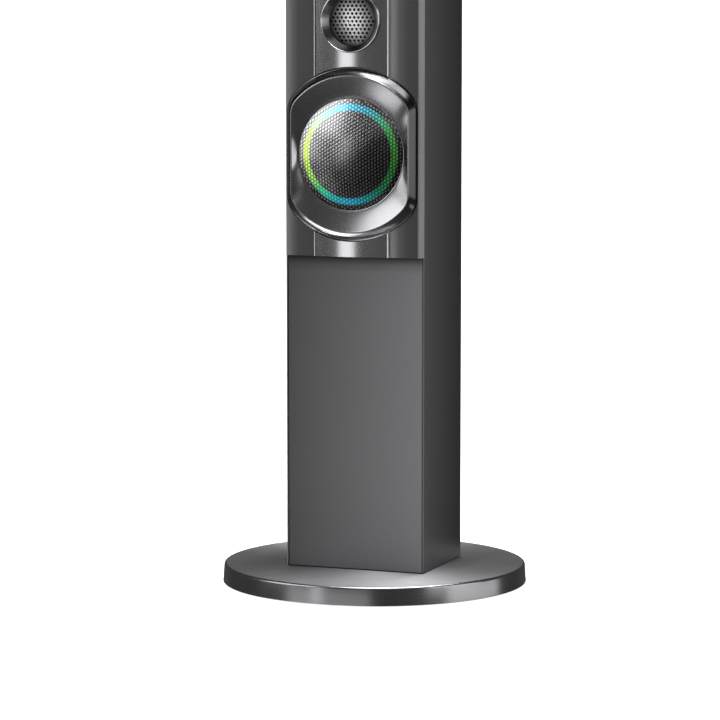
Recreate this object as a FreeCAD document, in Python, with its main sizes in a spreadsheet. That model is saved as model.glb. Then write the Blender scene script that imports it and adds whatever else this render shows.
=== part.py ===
import FreeCAD, Part
import math
import os
import Sketcher
from FreeCAD import Placement, Rotation, Vector

# Floorstanding speaker: a slim two-way column on a round base, with two woofers and a
# tweeter between them. Millimetres, +Z up, the front faces -Y, and the origin is the
# middle of the base on the floor. Drivers are drawn about their own axis, with +Z out of
# the baffle and zero at the baffle's front face, and are then turned to face -Y.

os.makedirs("parts", exist_ok=True)
doc = FreeCAD.newDocument("FloorSpeaker")

SIZES = {
    # base
    "baseRadius": 158.0,
    "baseDraft": 1.0,
    "baseThickness": 19.0,
    "baseRimRadius": 2.5,
    "coverWall": 2.5,
    "footRise": 1.0,
    "footRadius": 11.0,
    "footInset": 28.0,
    "footEdge": 0.6,
    "footCount": 6,
    "ballastThickness": 12.5,
    "gasketThickness": 0.8,
    "gasketInset": 1.0,
    "baseScrewRadius": 3.0,
    "baseScrewHeadRadius": 5.0,
    "baseScrewHead": 4.0,
    "baseScrewReach": 14.0,
    "baseKeyRadius": 2.55,
    "baseKeyDepth": 2.4,
    "threadFit": 0.05,
    "baseScrewSink": 0.5,
    "baseScrewInsetX": 25.0,
    "baseScrewInsetY": 24.0,
    # column
    "columnWidth": 150.0,
    "columnDepth": 116.0,
    "lowerPanelHeight": 322.0,
    "baffleHeight": 475.0,
    "skinThickness": 1.2,
    "sideBoard": 9.0,
    "backBoard": 12.0,
    "frontBoard": 12.0,
    "bottomBoard": 18.0,
    "topBoard": 12.0,
    "braceThickness": 12.0,
    "lowerBraceDrop": 80.5,
    "braceWindowX": 35.0,
    "braceWindowY": 22.0,
    "topCapThickness": 12.0,
    "topCapEdge": 3.0,
    # front
    "panelThickness": 3.0,
    "seamGap": 0.9,
    "panelEdge": 0.6,
    "baffleRise": 8.0,
    "baffleBevel": 3.0,
    "stripHalfWidth": 39.0,
    "stripEdge": 2.0,
    "stripCrown": 5.0,
    "trimWidth": 1.2,
    "trimRise": 3.0,
    "seatGap": 0.8,
    "seatDepth": 1.0,
    "slipGap": 0.3,
    # woofers
    "driverGap": 14.7,
    "bezelEnd": 32.0,
    "bezelSide": 14.5,
    "bezelCorner": 26.0,
    "bezelFlange": 1.5,
    "bezelStep": 1.0,
    "bezelEndSlope": 8.0,
    "bezelSideSlope": 6.3,
    "bezelCornerSlope": 4.0,
    "bezelRise": 8.5,
    "bezelRim": 1.2,
    "bezelBore": 55.5,
    "bezelSpigot": 6.0,
    "bezelSpigotWall": 3.0,
    "grilleLedge": 1.9,
    "grilleSeat": 2.6,
    "grilleWall": 0.8,
    "grilleCrown": 9.0,
    "lightWidth": 7.0,
    "lightInset": 4.0,
    "lightEdge": 0.6,
    "lightRise": 4.5,
    "lampBoardGap": 0.5,
    "lampBoardLip": 1.0,
    "lampBoardBack": 0.8,
    "lampBoardThickness": 1.6,
    "flangeGap": 2.5,
    "flangeWidth": 10.0,
    "flangeThickness": 1.6,
    "basketNeck": 3.0,
    "basketWall": 1.2,
    "basketDepth": 31.0,
    "shelfDepth": 21.0,
    "shelfWidth": 3.0,
    "shelfLip": 1.5,
    "windowFoot": 9.0,
    "windowHead": 13.0,
    "windowRise": 2.5,
    "windowDrop": 5.0,
    "cutoutGap": 1.0,
    "coilRadius": 13.0,
    "formerWall": 0.3,
    "formerLap": 2.0,
    "windingWall": 0.5,
    "windingBack": 5.0,
    "windingFront": 4.0,
    "magnetGap": 0.5,
    "plateInset": 8.0,
    "plateThickness": 4.0,
    "magnetInset": 6.0,
    "magnetBore": 17.0,
    "magnetThickness": 12.0,
    "yokeInset": 2.0,
    "yokeThickness": 4.5,
    "poleVent": 4.0,
    "rollWidth": 6.2,
    "coneWall": 0.8,
    "coneDepth": 21.0,
    "rollHeight": 3.2,
    "rollWall": 0.8,
    "lipGap": 0.7,
    "spiderRadius": 27.0,
    "spiderWall": 0.5,
    "dustCapRadius": 18.0,
    "dustCapHeight": 6.0,
    "screwInset": 4.0,
    # screws that hold the drivers and the back fittings
    "screwRadius": 1.8,
    "screwHeadRadius": 2.8,
    "screwHead": 1.8,
    "screwReach": 10.0,
    "screwSlot": 1.0,
    "overcut": 1.0,
    # tweeter
    "rimWidth": 6.5,
    "rimEdge": 0.6,
    "rimLedge": 1.5,
    "rimGap": 0.1,
    "rimFoot": 0.2,
    "rimRise": 7.0,
    "rimLand": 1.3,
    "tweeterGrilleRadius": 25.0,
    "tweeterGrilleDepth": 1.5,
    "tweeterGrilleWall": 0.8,
    "facePlateMargin": 4.0,
    "facePlateThickness": 3.0,
    "hornFlare": 3.0,
    "hornLand": 1.0,
    "domeRadius": 12.5,
    "domeHeight": 4.5,
    "domeWall": 0.3,
    "domeRollWidth": 3.5,
    "domeFormer": 6.0,
    "domeRollWall": 0.4,
    "domeRollDrop": 0.5,
    "tweeterPlate": 2.5,
    "tweeterGap": 0.5,
    "tweeterMagnetWidth": 4.0,
    "tweeterMagnetThickness": 8.0,
    "tweeterYokeThickness": 3.0,
    # crossover
    "boardWidth": 84.0,
    "boardHeight": 60.0,
    "boardThickness": 1.6,
    "boardRise": 255.0,
    "inductorRadius": 14.0,
    "inductorLength": 11.0,
    "inductorBore": 6.0,
    "inductorSpacing": 36.0,
    "inductorShift": 4.0,
    "inductorRise": 40.0,
    "capacitorRadius": 6.5,
    "capacitorLength": 22.0,
    "capacitorSpacing": 18.0,
    "capacitorShift": 3.0,
    "capacitorRise": 13.0,
    # back
    "terminalRise": 62.0,
    "cupRadius": 25.0,
    "cupWall": 2.0,
    "cupDepth": 16.0,
    "cupFlangeWidth": 9.0,
    "cupScrewInset": 4.5,
    "cupEdge": 0.5,
    "postSpacing": 19.0,
    "postRadius": 2.0,
    "capRadius": 5.5,
    "capLength": 11.0,
    "capBore": 0.06,
    "capEdge": 0.8,
    "capTop": 1.6,
    "capLift": 0.4,
    "capSkirt": 2.0,
    "fluteRadius": 0.9,
    "fluteInset": 0.35,
    "fluteCount": 12,
    "collarHeight": 2.0,
    "collarWall": 2.4,
    "nutWall": 2.0,
    "nutHeight": 2.4,
    "postTail": 7.0,
    "postShort": 1.5,
    "portRise": 145.0,
    "portRadius": 18.0,
    "portWall": 2.0,
    "portLength": 62.0,
    "portFlangeWidth": 12.0,
    "portScrewInset": 4.5,
    "portFlare": 3.0,
}


class Size(float):
    """A length that keeps the spreadsheet expression it was worked out with."""

    def __new__(cls, value, text):
        size = float.__new__(cls, value)
        size.text = text
        return size

    def __add__(self, other):
        return Size(float(self) + float(other), "(%s + %s)" % (self.text, wording(other)))

    def __radd__(self, other):
        return Size(float(other) + float(self), "(%s + %s)" % (wording(other), self.text))

    def __sub__(self, other):
        return Size(float(self) - float(other), "(%s - %s)" % (self.text, wording(other)))

    def __rsub__(self, other):
        return Size(float(other) - float(self), "(%s - %s)" % (wording(other), self.text))

    def __mul__(self, other):
        return Size(float(self) * float(other), "(%s * %s)" % (self.text, wording(other)))

    def __rmul__(self, other):
        return Size(float(other) * float(self), "(%s * %s)" % (wording(other), self.text))

    def __truediv__(self, other):
        return Size(float(self) / float(other), "(%s / %s)" % (self.text, wording(other)))

    def __neg__(self):
        return Size(-float(self), "(0 - %s)" % self.text)


def wording(value):
    return value.text if isinstance(value, Size) else repr(float(value))


def bowRadius(reach, rise):
    """Radius of a dome that rises by a height over a half width."""
    return (reach * reach + rise * rise) / (rise * 2)


def root(value):
    return Size(math.sqrt(value), "sqrt(%s)" % value.text)


sheet = doc.addObject("Spreadsheet::Sheet", "Sizes")
for row, (name, value) in enumerate(SIZES.items(), start=1):
    sheet.set("A%d" % row, name)
    sheet.set("B%d" % row, str(value))
    sheet.setAlias("B%d" % row, name)
doc.recompute()


class Lengths:
    """The sheet's cells by name."""

    def __getattr__(self, name):
        return Size(float(sheet.get(name)), "Sizes." + name)


s = Lengths()
pieces = {}
FORWARD = Rotation(Vector(1, 0, 0), 90)
BACKWARD = Rotation(Vector(1, 0, 0), -90)
UPRIGHT = Rotation()


def bind(thing, prop, value):
    setattr(thing, prop, float(value))
    if isinstance(value, Size):
        thing.setExpression(prop, value.text)


def place(thing, x, y, z, turn=UPRIGHT):
    thing.Placement = Placement(Vector(x, y, z), turn)
    for axis, value in zip("xyz", (x, y, z)):
        if isinstance(value, Size):
            thing.setExpression(".Placement.Base." + axis, value.text)
    return thing


def newBody(label):
    body = doc.addObject("PartDesign::Body", label)
    body.Label = label
    return body


def newSketch(body, role, offset=0.0):
    sketch = body.newObject("Sketcher::SketchObject", body.Name + "Outline")
    planes = [feature for feature in body.Origin.OriginFeatures if feature.Role == role]
    sketch.AttachmentSupport = [(planes[0], "")]
    sketch.MapMode = "FlatFace"
    sketch.AttachmentOffset = Placement(Vector(0, 0, offset), Rotation())
    if isinstance(offset, Size):
        sketch.setExpression(".AttachmentOffset.Base.z", offset.text)
    return sketch


def arcThrough(start, end, radius):
    """Arc of a given radius; a positive radius bulges to the right of the way it goes."""
    chord = end - start
    middle = (start + end) * 0.5
    side = Vector(chord.y, -chord.x, 0).normalize()
    half = chord.Length / 2
    rise = abs(radius) - math.sqrt(max(radius * radius - half * half, 0.0))
    return Part.Arc(start, middle + side * math.copysign(rise, radius), end)


def addOutline(sketch, corners):
    """Closed outline. A corner is (u, v), or (u, v, radius) where an arc leaves it."""
    count = len(corners)
    ends = []
    for number, corner in enumerate(corners):
        following = corners[(number + 1) % count]
        start = Vector(corner[0], corner[1], 0)
        end = Vector(following[0], following[1], 0)
        if len(corner) == 3:
            edge = sketch.addGeometry(arcThrough(start, end, float(corner[2])), False)
        else:
            edge = sketch.addGeometry(Part.LineSegment(start, end), False)
        near = 1 if (sketch.getPoint(edge, 1) - start).Length < 1e-6 else 2
        ends.append((edge, near, 3 - near))
    for number, (edge, near, far) in enumerate(ends):
        before = ends[number - 1]
        sketch.addConstraint(Sketcher.Constraint("Coincident", before[0], before[2], edge, near))
        corner = corners[number]
        for kind, value, line in (("DistanceX", corner[0], -2), ("DistanceY", corner[1], -1)):
            if abs(float(value)) < 1e-9:
                sketch.addConstraint(Sketcher.Constraint("PointOnObject", edge, near, line))
                continue
            index = sketch.addConstraint(
                Sketcher.Constraint(kind, -1, 1, edge, near, float(value)))
            if isinstance(value, Size):
                sketch.setExpression("Constraints[%d]" % index, value.text)
        if len(corner) == 3 and min(corner[0], corners[(number + 1) % count][0]) == 0:
            # A dome that meets the axis keeps its centre on the axis.
            sketch.addConstraint(Sketcher.Constraint("PointOnObject", edge, 3, -2))
        elif len(corner) == 3:
            size = corner[2] if float(corner[2]) > 0 else -corner[2]
            index = sketch.addConstraint(Sketcher.Constraint("Radius", edge, float(size)))
            if isinstance(size, Size):
                sketch.setExpression("Constraints[%d]" % index, size.text)


def addCircle(sketch, x, y, radius):
    edge = sketch.addGeometry(Part.Circle(Vector(x, y, 0), Vector(0, 0, 1), float(radius)), False)
    for kind, value, line in (("DistanceX", x, -2), ("DistanceY", y, -1)):
        if abs(float(value)) < 1e-9:
            sketch.addConstraint(Sketcher.Constraint("PointOnObject", edge, 3, line))
            continue
        index = sketch.addConstraint(Sketcher.Constraint(kind, -1, 1, edge, 3, float(value)))
        if isinstance(value, Size):
            sketch.setExpression("Constraints[%d]" % index, value.text)
    index = sketch.addConstraint(Sketcher.Constraint("Radius", edge, float(radius)))
    if isinstance(radius, Size):
        sketch.setExpression("Constraints[%d]" % index, radius.text)


def addPad(body, sketch, length):
    feature = body.newObject("PartDesign::Pad", body.Name + "Pad")
    feature.Profile = sketch
    bind(feature, "Length", length)
    sketch.Visibility = False
    return feature


def addPocket(body, sketch, both=True, forward=False):
    """Cut through everything, on both sides of the sketch or on one side of it."""
    feature = body.newObject("PartDesign::Pocket", body.Name + "Pocket")
    feature.Profile = sketch
    feature.Type = "ThroughAll"
    if both:
        feature.SideType = "Symmetric"
    feature.Reversed = forward
    return feature


def addSpin(body, corners):
    sketch = newSketch(body, "XZ_Plane")
    addOutline(sketch, corners)
    feature = body.newObject("PartDesign::Revolution", body.Name + "Spin")
    feature.Profile = sketch
    feature.ReferenceAxis = (sketch, ["V_Axis"])
    feature.Angle = 360
    return feature


def turned(label, corners):
    """A turned piece about its own +Z axis; the outline is (radius, height)."""
    body = newBody(label)
    addSpin(body, corners)
    pieces[label] = body
    return body


def repeat(body, feature, count):
    """Repeat a cut round the body's own +Z axis."""
    pattern = body.newObject("PartDesign::PolarPattern", body.Name + "Round")
    pattern.Originals = [feature]
    axes = [found for found in body.Origin.OriginFeatures if found.Role == "Z_Axis"]
    pattern.Axis = (axes[0], [""])
    pattern.Angle = 360
    pattern.Occurrences = count
    body.Tip = pattern
    return pattern


def block(label, low, high):
    box = doc.addObject("Part::Box", label)
    for prop, near, far in zip(("Length", "Width", "Height"), low, high):
        bind(box, prop, far - near)
    return place(box, low[0], low[1], low[2])


def rod(label, radius, length, x, y, z, turn=UPRIGHT):
    cylinder = doc.addObject("Part::Cylinder", label)
    bind(cylinder, "Radius", radius)
    bind(cylinder, "Height", length)
    return place(cylinder, x, y, z, turn)


def joined(label, tools):
    fuse = doc.addObject("Part::MultiFuse", label)
    fuse.Shapes = tools
    return fuse


def cut(label, whole, tools):
    result = doc.addObject("Part::Cut", label)
    result.Base = whole
    result.Tool = tools[0] if len(tools) == 1 else joined(label + "Cutters", tools)
    result.Label = label
    pieces[label] = result
    return result


def kept(label, thing):
    thing.Label = label
    pieces[label] = thing
    return thing


def copies(label, made, places):
    """One node of identical separate solids: copies of a finished solid."""
    doc.recompute()
    solids = []
    for spot in places:
        solid = made.Shape.copy()
        solid.Placement = spot
        solids.append(solid)
    group = doc.addObject("Part::Feature", label)
    group.Shape = Part.makeCompound(solids)
    group.Placement = Placement()
    group.Label = label
    pieces[label] = group
    return group


def corners4(x, y):
    return [(across, along) for across in (-x, x) for along in (-y, y)]


def around(radius, count, first=0.0):
    """Points round a circle, as expressions of its radius."""
    for number in range(count):
        angle = math.radians(first + 360.0 * number / count)
        yield radius * round(math.cos(angle), 9), radius * round(math.sin(angle), 9)


def ovalCorners(radius, halfWidth, corner, height=0.0):
    """A circle with its sides cut off upright and the corners rounded."""
    inner = halfWidth - corner
    reach = root((radius - corner) * (radius - corner) - inner * inner)
    share = radius / (radius - corner)
    crownX = inner * share
    crownY = reach * share
    return [
        (halfWidth, height - reach),
        (halfWidth, height + reach, corner),
        (crownX, height + crownY, radius),
        (-crownX, height + crownY, corner),
        (-halfWidth, height + reach),
        (-halfWidth, height - reach, corner),
        (-crownX, height - crownY, radius),
        (crownX, height - crownY, corner),
    ]


def roundCorners(radius, halfWidth, corner, ringRadius):
    """A circle broken at the same eight directions as an oval outline."""
    oval = ovalCorners(radius, halfWidth, corner)
    places = []
    for spot in oval:
        x, y = spot[0], spot[1]
        share = ringRadius / root(x * x + y * y)
        places.append((x * share, y * share, ringRadius))
    return places


# Sizes that follow from others, so that what fits together stays together.
rimRadius = s.tweeterGrilleRadius + s.rimWidth
facePlateRadius = s.tweeterGrilleRadius + s.facePlateMargin
bezelRadius = s.bezelBore + s.bezelEnd
bezelHalfWidth = s.bezelBore + s.bezelSide
bezelFrontRadius = bezelRadius - s.bezelEndSlope
bezelFrontHalfWidth = bezelHalfWidth - s.bezelSideSlope
bezelFrontCorner = s.bezelCorner - s.bezelCornerSlope
driverSpacing = bezelRadius + rimRadius + s.driverGap
grilleRadius = s.bezelBore + s.grilleLedge
lampBoardOuter = s.bezelBore - s.lampBoardGap
lightOuter = lampBoardOuter - s.lightInset
lightInner = lightOuter - s.lightWidth
baffleBore = s.bezelBore + s.bezelSpigotWall + s.slipGap
flangeRadius = baffleBore - s.slipGap - s.flangeGap
screwCircle = flangeRadius - s.screwInset
lipOuter = screwCircle - s.screwHeadRadius - s.lipGap
basketRadius = flangeRadius - s.flangeWidth
coneRadius = basketRadius - s.rollWidth - s.coneWall
magnetRadius = basketRadius - s.magnetInset
yokeRadius = magnetRadius - s.yokeInset
plateRadius = magnetRadius - s.plateInset
domeThroat = s.domeRadius + s.domeRollWidth
tweeterMagnetRadius = domeThroat + s.tweeterMagnetWidth
footCircle = s.baseRadius - s.footInset
baseScrewX = s.columnWidth / 2 - s.baseScrewInsetX
baseScrewY = s.columnDepth / 2 - s.baseScrewInsetY
cupFlange = s.cupRadius + s.cupFlangeWidth
cupScrewCircle = cupFlange - s.cupScrewInset
portOuter = s.portRadius + s.portWall
portFlange = portOuter + s.portFlangeWidth

# Levels and planes that several pieces share.
baseTop = s.footRise + s.baseThickness
columnBottom = baseTop + s.gasketThickness
columnHeight = s.lowerPanelHeight + s.baffleHeight
columnTop = columnBottom + columnHeight
baffleBottom = columnBottom + s.lowerPanelHeight
tweeterHeight = baffleBottom + s.baffleHeight / 2
frontY = -s.columnDepth / 2
backY = s.columnDepth / 2
faceY = frontY - s.baffleRise
skinX = s.columnWidth / 2
boardX = skinX - s.skinThickness
innerX = boardX - s.sideBoard
boardFrontY = frontY + s.panelThickness
boardFrontBackY = boardFrontY + s.frontBoard
boardBackY = backY - s.skinThickness
boardBackFrontY = boardBackY - s.backBoard
panelX = boardX - s.seamGap
seat = -(s.baffleRise + s.panelThickness)
wooferHeights = {
    "lower": tweeterHeight - driverSpacing,
    "upper": tweeterHeight + driverSpacing,
}


def makeBase():
    wallTop = s.footRise
    rimX = s.baseRadius - s.baseDraft
    rim = s.baseRimRadius
    skirtX = s.baseRadius - s.coverWall
    under = baseTop - s.coverWall
    cover = newBody("base_cover")
    addSpin(cover, [
        (0.0, under),
        (rimX - s.coverWall, under),
        (skirtX, wallTop),
        (s.baseRadius, wallTop),
        (rimX, baseTop - rim, rim),
        (rimX - rim, baseTop),
        (0.0, baseTop),
    ])
    holes = newSketch(cover, "XY_Plane")
    for x, y in corners4(baseScrewX, baseScrewY):
        addCircle(holes, x, y, s.baseScrewRadius + s.slipGap)
    addPocket(cover, holes)
    pieces["base_cover"] = cover

    ballastBottom = under - s.ballastThickness
    ballast = newBody("base_ballast")
    disc = newSketch(ballast, "XY_Plane")
    addCircle(disc, 0.0, 0.0, rimX - s.coverWall - s.slipGap * 2)
    addPad(ballast, disc, s.ballastThickness)
    holes = newSketch(ballast, "XY_Plane")
    for x, y in corners4(baseScrewX, baseScrewY):
        addCircle(holes, x, y, s.baseScrewRadius + s.slipGap)
    addPocket(ballast, holes)
    sinks = newSketch(ballast, "XY_Plane", s.baseScrewHead + s.baseScrewSink)
    for x, y in corners4(baseScrewX, baseScrewY):
        addCircle(sinks, x, y, s.baseScrewHeadRadius + s.slipGap * 2)
    addPocket(ballast, sinks, both=False)
    place(ballast, 0, 0, ballastBottom)
    pieces["base_ballast"] = ballast

    foot = rod("footPad", s.footRadius, ballastBottom, 0, 0, 0)
    softened = doc.addObject("Part::Chamfer", "footPadEdge")
    softened.Base = foot
    doc.recompute()
    lowest = [number for number, edge in enumerate(foot.Shape.Edges, start=1)
              if edge.BoundBox.ZMax < 1e-6]
    softened.Edges = [(lowest[0], float(s.footEdge), float(s.footEdge))]
    spots = [Placement(Vector(x, y, 0), UPRIGHT)
             for x, y in around(footCircle, int(s.footCount), 30.0)]
    copies("rubber_feet", softened, spots)

    headBottom = ballastBottom + s.baseScrewSink
    shank = baseTop + s.gasketThickness + s.baseScrewReach - headBottom
    head = rod("baseScrewCap", s.baseScrewHeadRadius, s.baseScrewHead, 0, 0, 0)
    stem = rod("baseScrewStem", s.baseScrewRadius, shank, 0, 0, 0)
    hexagon = doc.addObject("Part::Prism", "baseScrewKey")
    hexagon.Polygon = 6
    bind(hexagon, "Circumradius", s.baseKeyRadius)
    bind(hexagon, "Height", s.baseKeyDepth)
    screw = doc.addObject("Part::Cut", "baseScrewOne")
    screw.Base = joined("baseScrewBody", [head, stem])
    screw.Tool = hexagon
    spots = [Placement(Vector(x, y, headBottom), UPRIGHT)
             for x, y in corners4(baseScrewX, baseScrewY)]
    copies("base_screws", screw, spots)

    gasket = block("gasketBlank",
                   (-skinX + s.gasketInset, frontY + s.gasketInset, baseTop),
                   (skinX - s.gasketInset, backY - s.gasketInset, columnBottom))
    holes = [rod("gasketHole%d" % number, s.baseScrewRadius + s.slipGap, s.gasketThickness * 3,
                 x, y, baseTop - s.gasketThickness)
             for number, (x, y) in enumerate(corners4(baseScrewX, baseScrewY))]
    cut("column_gasket", gasket, holes)


def makeCarcass():
    for side, low, high in (("left", -boardX, -innerX), ("right", innerX, boardX)):
        label = "side_board_" + side
        kept(label, block(label, (low, boardFrontBackY, columnBottom),
                          (high, boardBackFrontY, columnTop)))

    bottom = block("bottomBlank", (-innerX, boardFrontBackY, columnBottom),
                   (innerX, boardBackFrontY, columnBottom + s.bottomBoard))
    threads = [rod("bottomThread%d" % number, s.baseScrewRadius + s.threadFit, s.baseScrewReach + s.overcut,
                   x, y, columnBottom - s.overcut / 2)
               for number, (x, y) in enumerate(corners4(baseScrewX, baseScrewY))]
    cut("bottom_board", bottom, threads)

    kept("top_board", block("top_board", (-innerX, boardFrontBackY, columnTop - s.topBoard),
                            (innerX, boardBackFrontY, columnTop)))

    braces = []
    for number, level in enumerate((baffleBottom - s.lowerBraceDrop,
                                    tweeterHeight - driverSpacing / 2,
                                    tweeterHeight + driverSpacing / 2)):
        plate = block("bracePlate%d" % number,
                      (-innerX, boardFrontBackY, level - s.braceThickness / 2),
                      (innerX, boardBackFrontY, level + s.braceThickness / 2))
        window = block("braceWindow%d" % number,
                       (-s.braceWindowX, -s.braceWindowY, level - s.braceThickness),
                       (s.braceWindowX, s.braceWindowY, level + s.braceThickness))
        brace = doc.addObject("Part::Cut", "brace%d" % number)
        brace.Base = plate
        brace.Tool = window
        braces.append(brace)
    group = doc.addObject("Part::Compound", "cross_braces")
    group.Links = braces
    kept("cross_braces", group)

    back = block("backBlank", (-boardX, boardBackFrontY, columnBottom),
                 (boardX, boardBackY, columnTop))
    tools = [
        rod("backCupHole", s.cupRadius + s.slipGap, s.backBoard + s.overcut * 2,
            0, boardBackFrontY - s.overcut, columnBottom + s.terminalRise, BACKWARD),
        rod("backPortHole", portOuter + s.slipGap, s.backBoard + s.overcut * 2,
            0, boardBackFrontY - s.overcut, columnBottom + s.portRise, BACKWARD),
    ]
    for number, (x, z) in enumerate(backScrewSpots()):
        tools.append(rod("backPilot%d" % number, s.screwRadius + s.threadFit, s.screwReach + s.overcut,
                         x, backY - s.screwReach - s.overcut, z, BACKWARD))
    cut("back_board", back, tools)

    front = block("frontBlank", (-boardX, boardFrontY, columnBottom),
                  (boardX, boardFrontBackY, columnTop))
    tools = [rod("frontTweeterHole", tweeterMagnetRadius + s.cutoutGap, s.frontBoard + s.overcut * 2,
                 0, boardFrontBackY + s.overcut, tweeterHeight, FORWARD)]
    for name, level in wooferHeights.items():
        tools.append(rod("frontHole_" + name, basketRadius + s.cutoutGap, s.frontBoard + s.overcut * 2,
                         0, boardFrontBackY + s.overcut, level, FORWARD))
        for number, (x, z) in enumerate(around(screwCircle, 4, 45.0)):
            tools.append(rod("frontPilot_%s%d" % (name, number), s.screwRadius + s.threadFit,
                             s.screwReach, x, boardFrontY + s.screwReach - s.overcut, level + z, FORWARD))
    cut("front_board", front, tools)


def backScrewSpots():
    """Screw places of the terminal plate and the port, on the back of the column."""
    for x, z in around(cupScrewCircle, 4, 45.0):
        yield x, columnBottom + s.terminalRise + z
    for x, z in around(portFlange - s.portScrewInset, 3, 90.0):
        yield x, columnBottom + s.portRise + z


def makeSkin():
    """One sheet folded round both sides and the back, its front edges left as thin lips."""
    skin = newBody("side_skin")
    plan = newSketch(skin, "XY_Plane")
    fold = s.skinThickness
    addOutline(plan, [
        (skinX, frontY),
        (skinX, backY - fold, fold),
        (skinX - fold, backY),
        (fold - skinX, backY, fold),
        (-skinX, backY - fold),
        (-skinX, frontY),
        (-boardX, frontY),
        (-boardX, boardBackY),
        (boardX, boardBackY),
        (boardX, frontY),
    ])
    addPad(skin, plan, columnHeight)
    holes = newSketch(skin, "XZ_Plane")
    addCircle(holes, 0.0, s.terminalRise, s.cupRadius + s.slipGap)
    addCircle(holes, 0.0, s.portRise, portOuter + s.slipGap)
    for x, z in backScrewSpots():
        addCircle(holes, x, z - columnBottom, s.screwRadius + s.slipGap)
    addPocket(skin, holes)
    place(skin, 0, 0, columnBottom)
    pieces["side_skin"] = skin


def makeFront():
    panel = newBody("front_panel")
    plan = newSketch(panel, "XY_Plane")
    edge = s.panelEdge
    addOutline(plan, [
        (-panelX, boardFrontY),
        (-panelX, frontY + edge),
        (edge - panelX, frontY),
        (panelX - edge, frontY),
        (panelX, frontY + edge),
        (panelX, boardFrontY),
    ])
    addPad(panel, plan, s.lowerPanelHeight - s.seamGap)
    place(panel, 0, 0, columnBottom + s.seamGap / 2)
    pieces["front_panel"] = panel

    baffle = newBody("baffle")
    plan = newSketch(baffle, "XY_Plane")
    faceX = skinX - s.baffleBevel
    addOutline(plan, [
        (panelX, boardFrontY),
        (-panelX, boardFrontY),
        (-panelX, frontY),
        (-skinX, frontY),
        (-faceX, faceY),
        (faceX, faceY),
        (skinX, frontY),
        (panelX, frontY),
    ])
    addPad(baffle, plan, s.baffleHeight)
    bores = newSketch(baffle, "XZ_Plane")
    addCircle(bores, 0.0, s.baffleHeight / 2, facePlateRadius + s.slipGap)
    for side in (-1, 1):
        addCircle(bores, 0.0, s.baffleHeight / 2 + side * driverSpacing, baffleBore)
    addPocket(baffle, bores)
    seats = newSketch(baffle, "XZ_Plane", -faceY - s.seatDepth)
    for side in (-1, 1):
        addOutline(seats, seatOutline(s.baffleHeight / 2 + side * driverSpacing))
    addPocket(baffle, seats, both=False, forward=True)
    place(baffle, 0, 0, baffleBottom)
    pieces["baffle"] = baffle

    strip = newBody("centre_strip")
    plan = newSketch(strip, "XY_Plane")
    half = s.stripHalfWidth - s.slipGap
    crown = s.stripCrown - s.stripEdge
    bow = bowRadius(half, crown)
    addOutline(plan, [
        (half, faceY),
        (-half, faceY),
        (-half, faceY - s.stripEdge, bow),
        (half, faceY - s.stripEdge),
    ])
    addPad(strip, plan, s.baffleHeight)
    openings = newSketch(strip, "XZ_Plane")
    addCircle(openings, 0.0, s.baffleHeight / 2, rimRadius + s.slipGap)
    for side in (-1, 1):
        addOutline(openings, seatOutline(s.baffleHeight / 2 + side * driverSpacing))
    addPocket(strip, openings)
    place(strip, 0, 0, baffleBottom)
    pieces["centre_strip"] = strip

    trims = newBody("trim_strips")
    plan = newSketch(trims, "XY_Plane")
    for side in (-1, 1):
        near = side * s.stripHalfWidth
        far = side * (s.stripHalfWidth + s.trimWidth)
        addOutline(plan, [
            (near, faceY),
            (near, faceY - s.trimRise),
            (far, faceY - s.trimRise),
            (far, faceY),
        ])
    addPad(trims, plan, s.baffleHeight)
    openings = newSketch(trims, "XZ_Plane")
    for side in (-1, 1):
        addOutline(openings, seatOutline(s.baffleHeight / 2 + side * driverSpacing))
    addPocket(trims, openings)
    place(trims, 0, 0, baffleBottom)
    pieces["trim_strips"] = trims

    cap = newBody("top_cap")
    plan = newSketch(cap, "XY_Plane")
    addOutline(plan, [
        (skinX, backY),
        (-skinX, backY),
        (-skinX, frontY),
        (-faceX, faceY),
        (faceX, faceY),
        (skinX, frontY),
    ])
    pad = addPad(cap, plan, s.topCapThickness)
    doc.recompute()
    bevel = cap.newObject("PartDesign::Chamfer", "topCapBevel")
    bevel.Base = (pad, ["Face%d" % number for number, face in enumerate(pad.Shape.Faces, start=1)
                        if face.normalAt(0, 0).z > 0.9])
    bind(bevel, "Size", s.topCapEdge)
    place(cap, 0, 0, columnTop)
    pieces["top_cap"] = cap


def seatOutline(height):
    """Outline of the bezel's seat, with its shadow gap all round."""
    return ovalCorners(bezelRadius + s.seatGap, bezelHalfWidth + s.seatGap,
                       s.bezelCorner + s.seatGap, height)


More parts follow.
